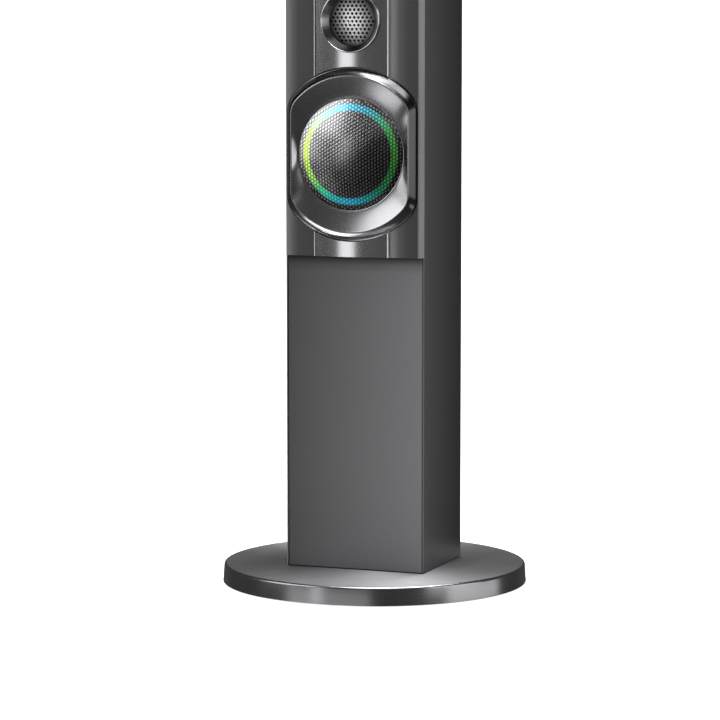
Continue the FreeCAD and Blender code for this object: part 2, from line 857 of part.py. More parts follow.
def makeBezel(name):
    """Die-cast frame: flange, sloped flank and a dish that falls to the grille's seat."""
    bezel = newBody(name + "_bezel")
    floor = -s.seatDepth
    flange = newSketch(bezel, "XY_Plane", floor)
    addOutline(flange, ovalCorners(bezelRadius, bezelHalfWidth, s.bezelCorner))
    addPad(bezel, flange, s.seatDepth + s.bezelFlange)
    foot = newSketch(bezel, "XY_Plane", s.bezelFlange)
    addOutline(foot, ovalCorners(bezelRadius - s.bezelStep, bezelHalfWidth - s.bezelStep,
                                 s.bezelCorner - s.bezelStep))
    crest = newSketch(bezel, "XY_Plane", s.bezelRise)
    addOutline(crest, ovalCorners(bezelFrontRadius, bezelFrontHalfWidth, bezelFrontCorner))
    flank = bezel.newObject("PartDesign::AdditiveLoft", bezel.Name + "Flank")
    flank.Profile = foot
    flank.Sections = [crest]
    flank.Ruled = True
    dishFloor = s.grilleSeat + s.grilleWall + s.slipGap
    lowRing = newSketch(bezel, "XY_Plane", dishFloor)
    addOutline(lowRing, roundCorners(bezelFrontRadius, bezelFrontHalfWidth,
                                     bezelFrontCorner, grilleRadius + s.slipGap))
    highRing = newSketch(bezel, "XY_Plane", s.bezelRise)
    addOutline(highRing, ovalCorners(bezelFrontRadius - s.bezelRim,
                                     bezelFrontHalfWidth - s.bezelRim,
                                     bezelFrontCorner - s.bezelRim))
    dish = bezel.newObject("PartDesign::SubtractiveLoft", bezel.Name + "Dish")
    dish.Profile = lowRing
    dish.Sections = [highRing]
    dish.Ruled = True
    ledge = newSketch(bezel, "XY_Plane", s.grilleSeat)
    addCircle(ledge, 0.0, 0.0, grilleRadius + s.slipGap)
    addPocket(bezel, ledge, both=False, forward=True)
    spigot = newSketch(bezel, "XY_Plane", -s.bezelSpigot)
    addCircle(spigot, 0.0, 0.0, s.bezelBore + s.bezelSpigotWall)
    addPad(bezel, spigot, s.bezelSpigot)
    bore = newSketch(bezel, "XY_Plane")
    addCircle(bore, 0.0, 0.0, s.bezelBore)
    addPocket(bezel, bore)
    pieces[name + "_bezel"] = bezel
    return bezel


def makeWoofer(name, height):
    made = [makeBezel(name)]
    made.append(makeGrille(name))

    boardFront = s.lampBoardThickness - s.lampBoardBack
    made.append(turned(name + "_lamp_board", [
        (lightInner - s.lampBoardLip, -s.lampBoardBack),
        (lampBoardOuter, -s.lampBoardBack),
        (lampBoardOuter, boardFront),
        (lightInner - s.lampBoardLip, boardFront),
    ]))
    made.append(turned(name + "_light_ring", [
        (lightInner, boardFront),
        (lightOuter, boardFront),
        (lightOuter, s.lightRise - s.lightEdge),
        (lightOuter - s.lightEdge, s.lightRise),
        (lightInner + s.lightEdge, s.lightRise),
        (lightInner, s.lightRise - s.lightEdge),
    ]))

    flangeFront = seat + s.flangeThickness
    basketBack = seat - s.basketDepth
    plateBack = basketBack - s.basketWall
    magnetFront = plateBack - s.plateThickness
    magnetBack = magnetFront - s.magnetThickness
    shelf = seat - s.shelfDepth
    shelfX = s.spiderRadius + s.shelfWidth
    neckX = s.spiderRadius - s.shelfLip
    neck = seat - s.basketNeck
    frame = newBody(name + "_frame")
    addSpin(frame, [
        (basketRadius - s.basketWall, flangeFront),
        (basketRadius - s.basketWall, neck),
        (shelfX, shelf),
        (neckX, shelf),
        (neckX, basketBack),
        (s.coilRadius + s.windingWall + s.magnetGap, basketBack),
        (s.coilRadius + s.windingWall + s.magnetGap, plateBack),
        (neckX + s.basketWall, plateBack),
        (neckX + s.basketWall, shelf - s.basketWall),
        (shelfX + s.basketWall, shelf - s.basketWall),
        (basketRadius, neck),
        (basketRadius, seat),
        (flangeRadius, seat),
        (flangeRadius, flangeFront),
    ])
    window = newSketch(frame, "XZ_Plane")
    addOutline(window, [
        (-s.windowFoot, shelf + s.windowRise),
        (s.windowFoot, shelf + s.windowRise),
        (s.windowHead, seat - s.windowDrop),
        (-s.windowHead, seat - s.windowDrop),
    ])
    slots = addPocket(frame, window, both=False)
    repeat(frame, slots, 4)
    holes = newSketch(frame, "XY_Plane")
    for x, y in around(screwCircle, 4, 45.0):
        addCircle(holes, x, y, s.screwRadius + s.slipGap)
    addPocket(frame, holes)
    pieces[name + "_frame"] = frame
    made.append(frame)

    gapX = s.coilRadius + s.windingWall + s.magnetGap
    poleX = s.coilRadius - s.formerWall - s.magnetGap
    made.append(turned(name + "_top_plate", [
        (gapX, magnetFront),
        (plateRadius, magnetFront),
        (plateRadius, plateBack),
        (gapX, plateBack),
    ]))
    made.append(turned(name + "_magnet", [
        (s.magnetBore, magnetBack),
        (magnetRadius, magnetBack),
        (magnetRadius, magnetFront),
        (s.magnetBore, magnetFront),
    ]))
    made.append(turned(name + "_yoke", [
        (s.poleVent, magnetBack - s.yokeThickness),
        (yokeRadius, magnetBack - s.yokeThickness),
        (yokeRadius, magnetBack),
        (poleX, magnetBack),
        (poleX, plateBack),
        (s.poleVent, plateBack),
    ]))

    coneBack = seat + s.flangeThickness - s.coneDepth
    coneTop = seat + s.flangeThickness
    coilBack = magnetFront - s.windingBack
    made.append(turned(name + "_coil", [
        (s.coilRadius - s.formerWall, coilBack),
        (s.coilRadius + s.windingWall, coilBack),
        (s.coilRadius + s.windingWall, plateBack + s.windingFront),
        (s.coilRadius, plateBack + s.windingFront),
        (s.coilRadius, coneBack + s.formerLap),
        (s.coilRadius - s.formerWall, coneBack + s.formerLap),
    ]))
    slope = (coneRadius - s.coilRadius) / (coneTop - coneBack)
    made.append(turned(name + "_cone", [
        (s.coilRadius, coneBack),
        (s.coilRadius + s.coneWall, coneBack),
        (coneRadius + s.coneWall, coneTop),
        (coneRadius - s.coneWall, coneTop),
        (s.coilRadius, coneBack + s.coneWall * 2),
    ]))
    capX = s.dustCapRadius
    capBase = coneBack + s.coneWall * 3 + (capX - s.coilRadius) / slope
    rise = s.dustCapHeight
    thin = s.coneWall / 2
    made.append(turned(name + "_dust_cap", [
        (0.0, capBase + rise - thin, -bowRadius(capX - thin, rise - thin)),
        (capX - thin, capBase),
        (capX, capBase, bowRadius(capX, rise)),
        (0.0, capBase + rise),
    ]))
    lipIn = coneRadius - s.coneWall
    wallR = s.rollWall
    rollBow = bowRadius((basketRadius - coneRadius - s.coneWall) / 2, s.rollHeight)
    inX = coneRadius + s.coneWall
    made.append(turned(name + "_surround", [
        (lipIn, coneTop),
        (inX, coneTop, -rollBow),
        (basketRadius, coneTop),
        (lipOuter, coneTop),
        (lipOuter, coneTop + wallR),
        (basketRadius + wallR, coneTop + wallR, (rollBow + wallR)),
        (inX - wallR, coneTop + wallR),
        (lipIn, coneTop + wallR),
    ]))
    spiderZ = shelf
    made.append(turned(name + "_spider", [
        (s.coilRadius, spiderZ),
        (s.spiderRadius, spiderZ),
        (s.spiderRadius, spiderZ + s.spiderWall),
        (s.coilRadius, spiderZ + s.spiderWall),
    ]))
    for body in made:
        place(body, 0, faceY, height, FORWARD)


def makeGrille(name):
    """Domed mesh as a plain shell, with a flat rim that sits on the bezel's ledge."""
    low = s.grilleSeat
    wall = s.grilleWall
    edge = s.bezelBore - s.slipGap
    return turned(name + "_grille", [
        (0.0, low + s.grilleCrown, -bowRadius(edge, s.grilleCrown)),
        (edge, low),
        (grilleRadius, low),
        (grilleRadius, low + wall),
        (edge + wall, low + wall, bowRadius(edge + wall, s.grilleCrown)),
        (0.0, low + wall + s.grilleCrown),
    ])


def makeScrews():
    """Identical pan-head screws: four in each woofer, four in the terminal plate, three in
    the port's flange."""
    head = rod("screwHead", s.screwHeadRadius, s.screwHead, 0, 0, 0)
    stem = rod("screwStem", s.screwRadius, s.screwReach, 0, 0, -s.screwReach)
    across = block("screwSlotA", (-s.screwRadius, -s.slipGap, s.screwHead - s.screwSlot),
                   (s.screwRadius, s.slipGap, s.screwHead + s.screwSlot))
    along = block("screwSlotB", (-s.slipGap, -s.screwRadius, s.screwHead - s.screwSlot),
                  (s.slipGap, s.screwRadius, s.screwHead + s.screwSlot))
    screw = doc.addObject("Part::Cut", "screwOne")
    screw.Base = joined("screwBody", [head, stem])
    screw.Tool = joined("screwSlots", [across, along])
    spots = []
    for height in wooferHeights.values():
        for x, z in around(screwCircle, 4, 45.0):
            y = faceY - seat - s.flangeThickness
            spots.append(Placement(Vector(x, y, height + z), FORWARD))
    for x, z in backScrewSpots():
        spots.append(Placement(Vector(x, backY + s.cupWall, z), BACKWARD))
    copies("panel_screws", screw, spots)


def makeTweeter():
    made = []
    discBack = -s.tweeterGrilleDepth
    discFront = discBack + s.tweeterGrilleWall
    seatX = s.tweeterGrilleRadius
    made.append(turned("tweeter_rim", [
        (seatX - s.rimLedge, discBack),
        (seatX - s.rimLedge, discBack - s.rimLedge),
        (facePlateRadius, discBack - s.rimLedge),
        (facePlateRadius, 0.0),
        (rimRadius, 0.0),
        (rimRadius, s.rimRise - s.rimEdge),
        (rimRadius - s.rimEdge, s.rimRise),
        (rimRadius - s.rimLand, s.rimRise),
        (seatX + s.rimGap, discFront + s.rimFoot),
        (seatX + s.rimGap, discBack),
    ]))
    made.append(turned("tweeter_grille", [
        (0.0, discBack),
        (seatX, discBack),
        (seatX, discFront),
        (0.0, discFront),
    ]))
    plateFront = seat + s.facePlateThickness
    throat = domeThroat
    made.append(turned("tweeter_faceplate", [
        (throat, seat),
        (facePlateRadius, seat),
        (facePlateRadius, plateFront),
        (throat + s.hornFlare, plateFront),
        (throat, seat + s.hornLand),
    ]))
    low = seat + s.domeRollDrop
    former = s.domeRadius
    crown = s.domeHeight + s.domeWall
    made.append(turned("tweeter_dome", [
        (0.0, low + s.domeHeight, -bowRadius(former, s.domeHeight)),
        (former, low),
        (former, low - s.domeFormer),
        (former + s.domeWall, low - s.domeFormer),
        (former + s.domeWall, low, bowRadius(former + s.domeWall, crown)),
        (0.0, low + crown),
    ]))
    made.append(turned("tweeter_surround", [
        (former + s.domeWall, low - s.domeRollDrop),
        (throat, low - s.domeRollDrop),
        (throat, low - s.domeRollDrop + s.domeRollWall),
        (former + s.domeWall, low - s.domeRollDrop + s.domeRollWall),
    ]))
    topPlate = seat - s.tweeterPlate
    magnetBack = topPlate - s.tweeterMagnetThickness
    gapX = former + s.domeWall + s.tweeterGap
    poleX = former - s.tweeterGap
    made.append(turned("tweeter_magnet", [
        (gapX, magnetBack),
        (tweeterMagnetRadius, magnetBack),
        (tweeterMagnetRadius, seat),
        (throat, seat),
        (gapX, topPlate),
    ]))
    made.append(turned("tweeter_yoke", [
        (0.0, magnetBack - s.tweeterYokeThickness),
        (tweeterMagnetRadius, magnetBack - s.tweeterYokeThickness),
        (tweeterMagnetRadius, magnetBack),
        (poleX, magnetBack),
        (poleX, topPlate),
        (0.0, topPlate),
    ]))
    for body in made:
        place(body, 0, faceY, tweeterHeight, FORWARD)


def makeCrossover():
    bottom = columnBottom + s.boardRise
    front = boardBackFrontY - s.boardThickness
    kept("crossover_board", block("crossover_board",
                                  (-s.boardWidth / 2, front, bottom),
                                  (s.boardWidth / 2, boardBackFrontY, bottom + s.boardHeight)))
    coils = []
    level = bottom + s.inductorRise
    for side in (-1, 1):
        x = side * s.inductorSpacing / 2 - s.inductorShift
        winding = rod("coilWinding", s.inductorRadius, s.inductorLength, x, front, level, FORWARD)
        core = rod("coilCore", s.inductorBore, s.inductorLength * 2,
                   x, front + s.inductorLength / 2, level, FORWARD)
        coil = doc.addObject("Part::Cut", "coilRing")
        coil.Base = winding
        coil.Tool = core
        coils.append(coil)
    group = doc.addObject("Part::Compound", "crossover_coils")
    group.Links = coils
    kept("crossover_coils", group)
    cans = []
    for step in (-1.5, -0.5, 0.5, 1.5):
        x = step * s.capacitorSpacing - s.capacitorShift
        cans.append(rod("capacitor", s.capacitorRadius, s.capacitorLength,
                        x, front, bottom + s.capacitorRise, FORWARD))
    group = doc.addObject("Part::Compound", "crossover_capacitors")
    group.Links = cans
    kept("crossover_capacitors", group)


def makeBack():
    level = columnBottom + s.terminalRise
    outer = s.cupRadius
    inner = outer - s.cupWall
    cup = newBody("terminal_cup")
    addSpin(cup, [
        (0.0, -s.cupDepth - s.cupWall),
        (outer, -s.cupDepth - s.cupWall),
        (outer, 0.0),
        (cupFlange, 0.0),
        (cupFlange, s.cupWall - s.cupEdge),
        (cupFlange - s.cupEdge, s.cupWall),
        (inner, s.cupWall),
        (inner, -s.cupDepth),
        (0.0, -s.cupDepth),
    ])
    holes = newSketch(cup, "XY_Plane")
    for side in (-1, 1):
        addCircle(holes, side * s.postSpacing / 2, 0.0, s.postRadius + s.threadFit)
    for x, y in around(cupScrewCircle, 4, 45.0):
        addCircle(holes, x, y, s.screwRadius + s.slipGap)
    addPocket(cup, holes)
    place(cup, 0, backY, level, BACKWARD)
    pieces["terminal_cup"] = cup

    floor = -s.cupDepth
    back = floor - s.cupWall
    collar = floor + s.collarHeight
    post = newBody("postOne")
    addSpin(post, [
        (0.0, back - s.postTail),
        (s.postRadius, back - s.postTail),
        (s.postRadius, back - s.nutHeight),
        (s.postRadius + s.nutWall, back - s.nutHeight),
        (s.postRadius + s.nutWall, back),
        (s.postRadius, back),
        (s.postRadius, floor),
        (s.postRadius + s.collarWall, floor),
        (s.postRadius + s.collarWall, collar),
        (s.postRadius, collar),
        (s.postRadius, collar + s.capLength - s.postShort),
        (0.0, collar + s.capLength - s.postShort),
    ])
    spots = [Placement(Vector(side * s.postSpacing / 2, backY, level), BACKWARD)
             for side in (-1, 1)]
    copies("terminal_posts", post, spots)

    base = collar + s.capLift
    for name, side in (("red", 1), ("black", -1)):
        label = "terminal_cap_" + name
        cap = newBody(label)
        bore = s.postRadius + s.capBore
        addSpin(cap, [
            (bore, base),
            (s.capRadius, base),
            (s.capRadius, base + s.capLength - s.capEdge),
            (s.capRadius - s.capEdge, base + s.capLength),
            (0.0, base + s.capLength),
            (0.0, base + s.capLength - s.capTop),
            (bore, base + s.capLength - s.capTop),
        ])
        flute = newSketch(cap, "XY_Plane", base + s.capSkirt)
        addCircle(flute, s.capRadius + s.fluteInset, 0.0, s.fluteRadius)
        groove = addPocket(cap, flute, both=False, forward=True)
        repeat(cap, groove, int(s.fluteCount))
        place(cap, side * s.postSpacing / 2, backY, level, BACKWARD)
        pieces[label] = cap

    flare = s.portFlare + s.cupWall
    tube = newBody("port_tube")
    addSpin(tube, [
        (s.portRadius, -s.portLength),
        (portOuter, -s.portLength),
        (portOuter, 0.0),
        (portFlange, 0.0),
        (portFlange, s.cupWall),
        (s.portRadius + flare, s.cupWall, flare),
        (s.portRadius, -s.portFlare),
    ])
    holes = newSketch(tube, "XY_Plane")
    for x, z in around(portFlange - s.portScrewInset, 3, 90.0):
        addCircle(holes, x, -z, s.screwRadius + s.slipGap)
    addPocket(tube, holes)
    place(tube, 0, backY, columnBottom + s.portRise, BACKWARD)
    pieces["port_tube"] = tube


makeBase()
makeCarcass()
makeSkin()
makeFront()
for name, height in wooferHeights.items():
    makeWoofer(name, height)
makeTweeter()
makeScrews()
makeCrossover()
makeBack()
doc.recompute()

faults = [thing.Name for thing in doc.Objects
          if "Invalid" in thing.State or "Error" in thing.State]
for label, piece in pieces.items():
    shape = piece.Shape
    if shape.isNull() or not shape.isValid() or not shape.Solids:
        faults.append(label)
if faults:
    raise RuntimeError("These did not build: " + ", ".join(faults))
for label, piece in pieces.items():
    piece.Shape.exportStep("parts/%s.step" % label)
print("%d sub-parts written" % len(pieces))
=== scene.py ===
import math
import bmesh
import bpy
import numpy as np
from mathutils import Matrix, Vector


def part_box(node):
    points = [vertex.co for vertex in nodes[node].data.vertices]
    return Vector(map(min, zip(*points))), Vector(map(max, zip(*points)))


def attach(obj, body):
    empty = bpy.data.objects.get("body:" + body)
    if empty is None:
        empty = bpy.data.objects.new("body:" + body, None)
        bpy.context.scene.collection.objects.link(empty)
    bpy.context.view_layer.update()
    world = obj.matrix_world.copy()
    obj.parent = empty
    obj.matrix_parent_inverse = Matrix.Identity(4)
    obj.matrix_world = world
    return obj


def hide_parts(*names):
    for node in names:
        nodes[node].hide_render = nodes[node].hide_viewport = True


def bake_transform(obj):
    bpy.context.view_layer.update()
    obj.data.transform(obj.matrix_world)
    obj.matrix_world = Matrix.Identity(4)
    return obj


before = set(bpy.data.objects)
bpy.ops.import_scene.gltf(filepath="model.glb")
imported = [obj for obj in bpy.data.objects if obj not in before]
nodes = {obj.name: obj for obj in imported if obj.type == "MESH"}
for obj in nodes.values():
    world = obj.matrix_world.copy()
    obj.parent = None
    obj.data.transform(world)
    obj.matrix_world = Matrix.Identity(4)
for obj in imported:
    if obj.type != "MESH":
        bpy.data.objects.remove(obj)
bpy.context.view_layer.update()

scene = bpy.context.scene
scene.view_settings.view_transform = "Standard"  # greys stay as they are set


def middle(node):
    low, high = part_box(node)
    return [(a + b) / 2 for a, b in zip(low, high)]


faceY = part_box("baffle")[0][1]  # front face of the upper baffle
wooferZ = {"lower": middle("lower_bezel")[2], "upper": middle("upper_bezel")[2]}
tweeterZ = middle("tweeter_rim")[2]


def hexToLinear(code):
    channels = [int(code[i:i + 2], 16) / 255 for i in (1, 3, 5)]
    return tuple(c / 12.92 if c <= 0.04045 else ((c + 0.055) / 1.055) ** 2.4
                 for c in channels) + (1.0,)


def toWorld(across, up, out, centreZ):
    # driver coordinates in metres: across is +X, up is +Z, out is -Y from the baffle's face
    return np.stack([across, faceY - out, centreZ + up], axis=-1)


def gridFaces(rows, columns, wrapRows, wrapColumns):
    # quads between neighbours of a grid, whose vertex number is row * columns + column
    i = np.arange(rows if wrapRows else rows - 1)[:, None]
    j = np.arange(columns if wrapColumns else columns - 1)[None, :]
    iNext, jNext = (i + 1) % rows, (j + 1) % columns
    corners = [i * columns + j, i * columns + jNext, iNext * columns + jNext, iNext * columns + j]
    return np.stack([np.broadcast_to(c, (i.size, j.size)) for c in corners], axis=-1).reshape(-1, 4)


def newPiece(name, points, faces, smooth=True, weld=1e-6):
    mesh = bpy.data.meshes.new(name)
    mesh.from_pydata(points.reshape(-1, 3).tolist(), [], faces.tolist())
    work = bmesh.new()
    work.from_mesh(mesh)
    bmesh.ops.remove_doubles(work, verts=work.verts, dist=weld)
    bmesh.ops.dissolve_degenerate(work, edges=work.edges, dist=weld)
    bmesh.ops.recalc_face_normals(work, faces=work.faces)
    work.to_mesh(mesh)
    work.free()
    mesh.shade_smooth() if smooth else mesh.shade_flat()
    piece = bpy.data.objects.new(name, mesh)
    scene.collection.objects.link(piece)
    return piece


def latheLoop(name, profile, centreZ, steps=160, sharp=30):
    # closed profile (radius, out) carried round the driver's axis by angle
    turn = np.linspace(0, 2 * np.pi, steps, endpoint=False)[:, None]
    radius, out = np.array(profile, float).T
    across, up = radius * np.cos(turn), radius * np.sin(turn)
    points = toWorld(across, up, np.broadcast_to(out, across.shape), centreZ)
    piece = newPiece(name, points, gridFaces(steps, len(profile), True, True))
    sharpen(piece, sharp)
    return piece


def spinUpright(name, profile, steps=240, sharp=30):
    # closed profile (radius, height) carried round the object's upright axis by angle
    turn = np.linspace(0, 2 * np.pi, steps, endpoint=False)[:, None]
    radius, height = np.array(profile, float).T
    across, along = radius * np.sin(turn), -radius * np.cos(turn)
    points = np.stack([across, along, np.broadcast_to(height, across.shape)], axis=-1)
    piece = newPiece(name, points, gridFaces(steps, len(profile), True, True))
    sharpen(piece, sharp)
    return piece


def fromAxis(places, centreZ):
    # distance of points from the driver's axis
    return np.hypot(places[:, 0], places[:, 2] - centreZ)


def giveFinishes(piece, finishes, chosen):
    # chosen is a function of the face centres, which gives each face the number of its finish
    for material in finishes:
        piece.data.materials.append(material)
    centres = np.empty(len(piece.data.polygons) * 3)
    piece.data.polygons.foreach_get("center", centres)
    piece.data.polygons.foreach_set("material_index", chosen(centres.reshape(-1, 3)).astype(int))


def sharpen(piece, degrees):
    # edges sharper than the angle stay crisp, the rest is shaded smooth
    work = bmesh.new()
    work.from_mesh(piece.data)
    for edge in work.edges:
        edge.smooth = edge.calc_face_angle(0.0) < math.radians(degrees)
    work.to_mesh(piece.data)
    work.free()


def arcPoints(centre, radius, first, last, count):
    # points on an arc, angles in degrees
    turn = np.radians(np.linspace(first, last, count))
    return [(centre[0] + radius * math.cos(a), centre[1] + radius * math.sin(a)) for a in turn]


def planarMap(piece, centreZ, radius):
    # a flat map seen from the front: the driver's axis is (0.5, 0.5) and its rim is 0.5 away
    mesh = piece.data
    corners = np.empty(len(mesh.loops), int)
    mesh.loops.foreach_get("vertex_index", corners)
    places = np.empty(len(mesh.vertices) * 3)
    mesh.vertices.foreach_get("co", places)
    places = places.reshape(-1, 3)[corners]
    across = 0.5 + places[:, 0] / radius / 2
    up = 0.5 + (places[:, 2] - centreZ) / radius / 2
    layer = mesh.uv_layers.new(name="face")
    layer.data.foreach_set("uv", np.stack([across, up], axis=-1).ravel())


def addNode(tree, kind, settings=None, links=None):
    node = tree.nodes.new(kind)
    for key, value in (settings or {}).items():
        if isinstance(key, int) or key in node.inputs:
            node.inputs[key].default_value = value
        else:
            setattr(node, key, value)
    for key, socket in (links or {}).items():
        tree.links.new(socket, node.inputs[key])
    return node


def newMaterial(name, settings):
    material = bpy.data.materials.new(name)
    material.use_nodes = True
    tree = material.node_tree
    tree.nodes.clear()
    shader = addNode(tree, "ShaderNodeBsdfPrincipled", settings)
    addNode(tree, "ShaderNodeOutputMaterial", links={"Surface": shader.outputs[0]})
    return material, tree, shader


def objectCoords(tree, stretch=(1, 1, 1)):
    coords = addNode(tree, "ShaderNodeTexCoord")
    return addNode(tree, "ShaderNodeMapping", {"Scale": stretch},
                   {"Vector": coords.outputs["Object"]}).outputs[0]


def ramp(tree, factor, stops, interpolation="LINEAR"):
    node = addNode(tree, "ShaderNodeValToRGB", links={"Fac": factor})
    node.color_ramp.interpolation = interpolation
    elements = node.color_ramp.elements
    while len(elements) < len(stops):
        elements.new(0.5)
    for element, (place, colour) in zip(elements, stops):
        element.position = place
        element.color = colour if len(colour) == 4 else (*colour, 1.0)
    return node.outputs["Color"]


def grey(value):
    return (value, value, value, 1.0)


def greys(stops):
    return [(place, grey(value)) for place, value in stops]


def multiplied(tree, colour, tone):
    mixed = addNode(tree, "ShaderNodeMix", {"data_type": "RGBA", "blend_type": "MULTIPLY"})
    mixed.inputs["Factor"].default_value = 1.0
    tree.links.new(colour, mixed.inputs["A"])
    tree.links.new(tone, mixed.inputs["B"])
    return mixed.outputs["Result"]


def mottled(tree, dark, light, scale, detail=2.0, span=(0.3, 0.7), stretch=(1, 1, 1)):
    # a colour that wanders between two tones with a noise, and the noise itself
    noise = addNode(tree, "ShaderNodeTexNoise", {"Scale": scale, "Detail": detail},
                    {"Vector": objectCoords(tree, stretch)})
    low, high = span
    colour = ramp(tree, noise.outputs["Fac"], [(low, hexToLinear(dark)), (high, hexToLinear(light))])
    return colour, noise.outputs["Fac"]


def varyGloss(tree, shader, factor, roughness, spread):
    gloss = addNode(tree, "ShaderNodeMapRange",
                    {"To Min": roughness - spread, "To Max": roughness + spread}, {"Value": factor})
    tree.links.new(gloss.outputs[0], shader.inputs["Roughness"])


def addRelief(tree, shader, factor, strength, depth):
    bump = addNode(tree, "ShaderNodeBump", {"Strength": strength, "Distance": depth}, {"Height": factor})
    tree.links.new(bump.outputs[0], shader.inputs["Normal"])


def flakedMetal(name, dark, light, metallic, roughness):
    # metallic lacquer: fine flake that varies the tone, and a slow mottle in the gloss
    flakeSize = 0.35  # millimetres
    material, tree, shader = newMaterial(name, {"Metallic": metallic})
    colour, flake = mottled(tree, dark, light, 1000 / flakeSize, span=(0.35, 0.65))
    tree.links.new(colour, shader.inputs["Base Color"])
    cloud = addNode(tree, "ShaderNodeTexNoise", {"Scale": 9.0, "Detail": 3.0},
                    {"Vector": objectCoords(tree)})
    varyGloss(tree, shader, cloud.outputs["Fac"], roughness, 0.06)
    addRelief(tree, shader, flake, 0.03, 0.0002)
    return material


def brushedMetal(name, dark, light, roughness, stretch):
    # bare or plated metal: tone and gloss vary together, in streaks where the stretch is uneven
    material, tree, shader = newMaterial(name, {"Metallic": 1.0})
    colour, streak = mottled(tree, dark, light, 1.0, detail=4.0, stretch=stretch)
    tree.links.new(colour, shader.inputs["Base Color"])
    varyGloss(tree, shader, streak, roughness, 0.02)
    return material


def plainFinish(name, dark, light, roughness, scale, bumpDepth, metallic=0.0):
    # moulded, cast or woven: a mottled tone and a matching fine relief
    material, tree, shader = newMaterial(name, {"Metallic": metallic})
    colour, grain = mottled(tree, dark, light, scale, detail=3.0, span=(0.35, 0.65))
    tree.links.new(colour, shader.inputs["Base Color"])
    varyGloss(tree, shader, grain, roughness, 0.06)
    addRelief(tree, shader, grain, 0.4, bumpDepth)
    return material


def shaderOf(material):
    return next(node for node in material.node_tree.nodes if node.type == "BSDF_PRINCIPLED")


def turnOnLathe(material, strength):
    # turning grooves run round the upright axis and draw a highlight out across them
    tree, shader = material.node_tree, shaderOf(material)
    shader.inputs["Anisotropic"].default_value = strength
    shader.inputs["Anisotropic Rotation"].default_value = 0.25
    tangent = addNode(tree, "ShaderNodeTangent", {"direction_type": "RADIAL", "axis": "Z"})
    tree.links.new(tangent.outputs[0], shader.inputs["Tangent"])


def paintShadeAlong(material, axis, low, high, stops):
    # painted shade and painted highlights: the tone drifts between two places on an object axis; stops
    # multiply the tone
    tree, shader = material.node_tree, shaderOf(material)
    split = addNode(tree, "ShaderNodeSeparateXYZ", links={0: objectCoords(tree)})
    share = addNode(tree, "ShaderNodeMapRange", {"From Min": low, "From Max": high},
                    {"Value": split.outputs[axis]})
    colour = shader.inputs["Base Color"].links[0].from_socket
    tone = ramp(tree, share.outputs[0], greys(stops))
    tree.links.new(multiplied(tree, colour, tone), shader.inputs["Base Color"])


# spun lacquered steel: a satin disc with a soft wedge of light on it
baseLacquer = brushedMetal("spunBaseLacquer", "#8c8c8e", "#949496", 0.58, (30, 30, 30))
turnOnLathe(baseLacquer, 0.65)
# the same lacquer polished on the rolled edge: sharper bright and dark bands
edgeLacquer = brushedMetal("edgeLacquer", "#8c8c8e", "#949496", 0.22, (30, 30, 30))
# lacquered metal, sprayed: gunmetal sides with a slight sparkle, a flatter lower front; both are given
# painted shade below
sideLacquer = flakedMetal("sideLacquer", "#7a7a7c", "#848486", 0.9, 0.36)
panelLacquer = flakedMetal("panelLacquer", "#7c7c7e", "#868688", 0.75, 0.42)
# bright metallic lacquer: the baffle is darkened by painted shade across its side fields and given painted
# highlights on its edges
baffleLacquer = flakedMetal("baffleLacquer", "#d4d4d6", "#dcdcde", 0.9, 0.34)
# drawn aluminium: one clean bright stripe down the bowed strip
bowedAluminium = brushedMetal("bowedAluminium", "#d8d8da", "#e4e4e6", 0.13, (40, 40, 4))
# polished trim: thin bright lines, one of them round the tweeter; the two copies carry different painted
# shade
brightTrim = brushedMetal("brightTrim", "#dcdcde", "#f2f2f4", 0.14, (60, 60, 60))
lipTrim = brushedMetal("lipTrim", "#dcdcde", "#f2f2f4", 0.14, (60, 60, 60))
# satin nickel: soft grey slope inside the tweeter's lip, given painted shade below
tweeterSlope = brushedMetal("tweeterSlope", "#a0a0a2", "#aaaaac", 0.3, (30, 30, 30))
# smoked chrome: blurred dark and bright patches in the dishes
darkChrome = brushedMetal("darkChrome", "#949496", "#9c9c9e", 0.21, (18, 18, 18))
# plated steel: dull grey rim of the woofer mesh, paler mesh over the tweeter
meshSteel = brushedMetal("meshSteel", "#88888a", "#949496", 0.3, (60, 60, 60))
tweeterMesh = brushedMetal("tweeterMesh", "#d8d8da", "#ececee", 0.2, (60, 60, 60))

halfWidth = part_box("baffle")[1][0]
sideFront, sideBack = (corner[1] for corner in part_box("side_skin"))
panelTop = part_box("front_panel")[1][2]
panelPaintedShadow = 0.016  # height of the painted shadow at the panel's top
slopeReach, lipReach = 0.030, 0.0315  # radii of the tweeter's slope and lip
# painted shade: the lower front is darker to the left and lighter to the right
paintShadeAlong(panelLacquer, 0, -halfWidth, halfWidth, [(0.0, 0.37), (1.0, 0.98)])
# painted shade: the sides darken from the front edge toward the back
paintShadeAlong(sideLacquer, 1, sideFront, sideBack, [(0.0, 0.95), (0.15, 0.8), (1.0, 0.25)])
# painted shadow under the baffle's step, across the top of the lower front
paintShadeAlong(panelLacquer, 2, panelTop - panelPaintedShadow, panelTop, [(0.0, 1.0), (0.5, 0.75), (0.85, 0.35), (1.0, 0.1)])
# painted highlights at the edges of the side fields and on the bevels, painted shade across the rest
paintShadeAlong(baffleLacquer, 0, -halfWidth, halfWidth,
     [(0.0, 0.49), (0.04, 0.33), (0.075, 0.2), (0.11, 0.13), (0.5, 0.1), (0.77, 0.55), (0.79, 0.45),
      (0.837, 0.21), (0.896, 0.135), (0.97, 0.115), (0.985, 0.75), (1.0, 0.7)])
# painted shade: the slope is dark at the bottom and lightest a little above the middle
paintShadeAlong(tweeterSlope, 2, tweeterZ - slopeReach, tweeterZ + slopeReach,
     [(0.0, 0.08), (0.25, 0.2), (0.6, 1.0), (1.0, 0.7)])
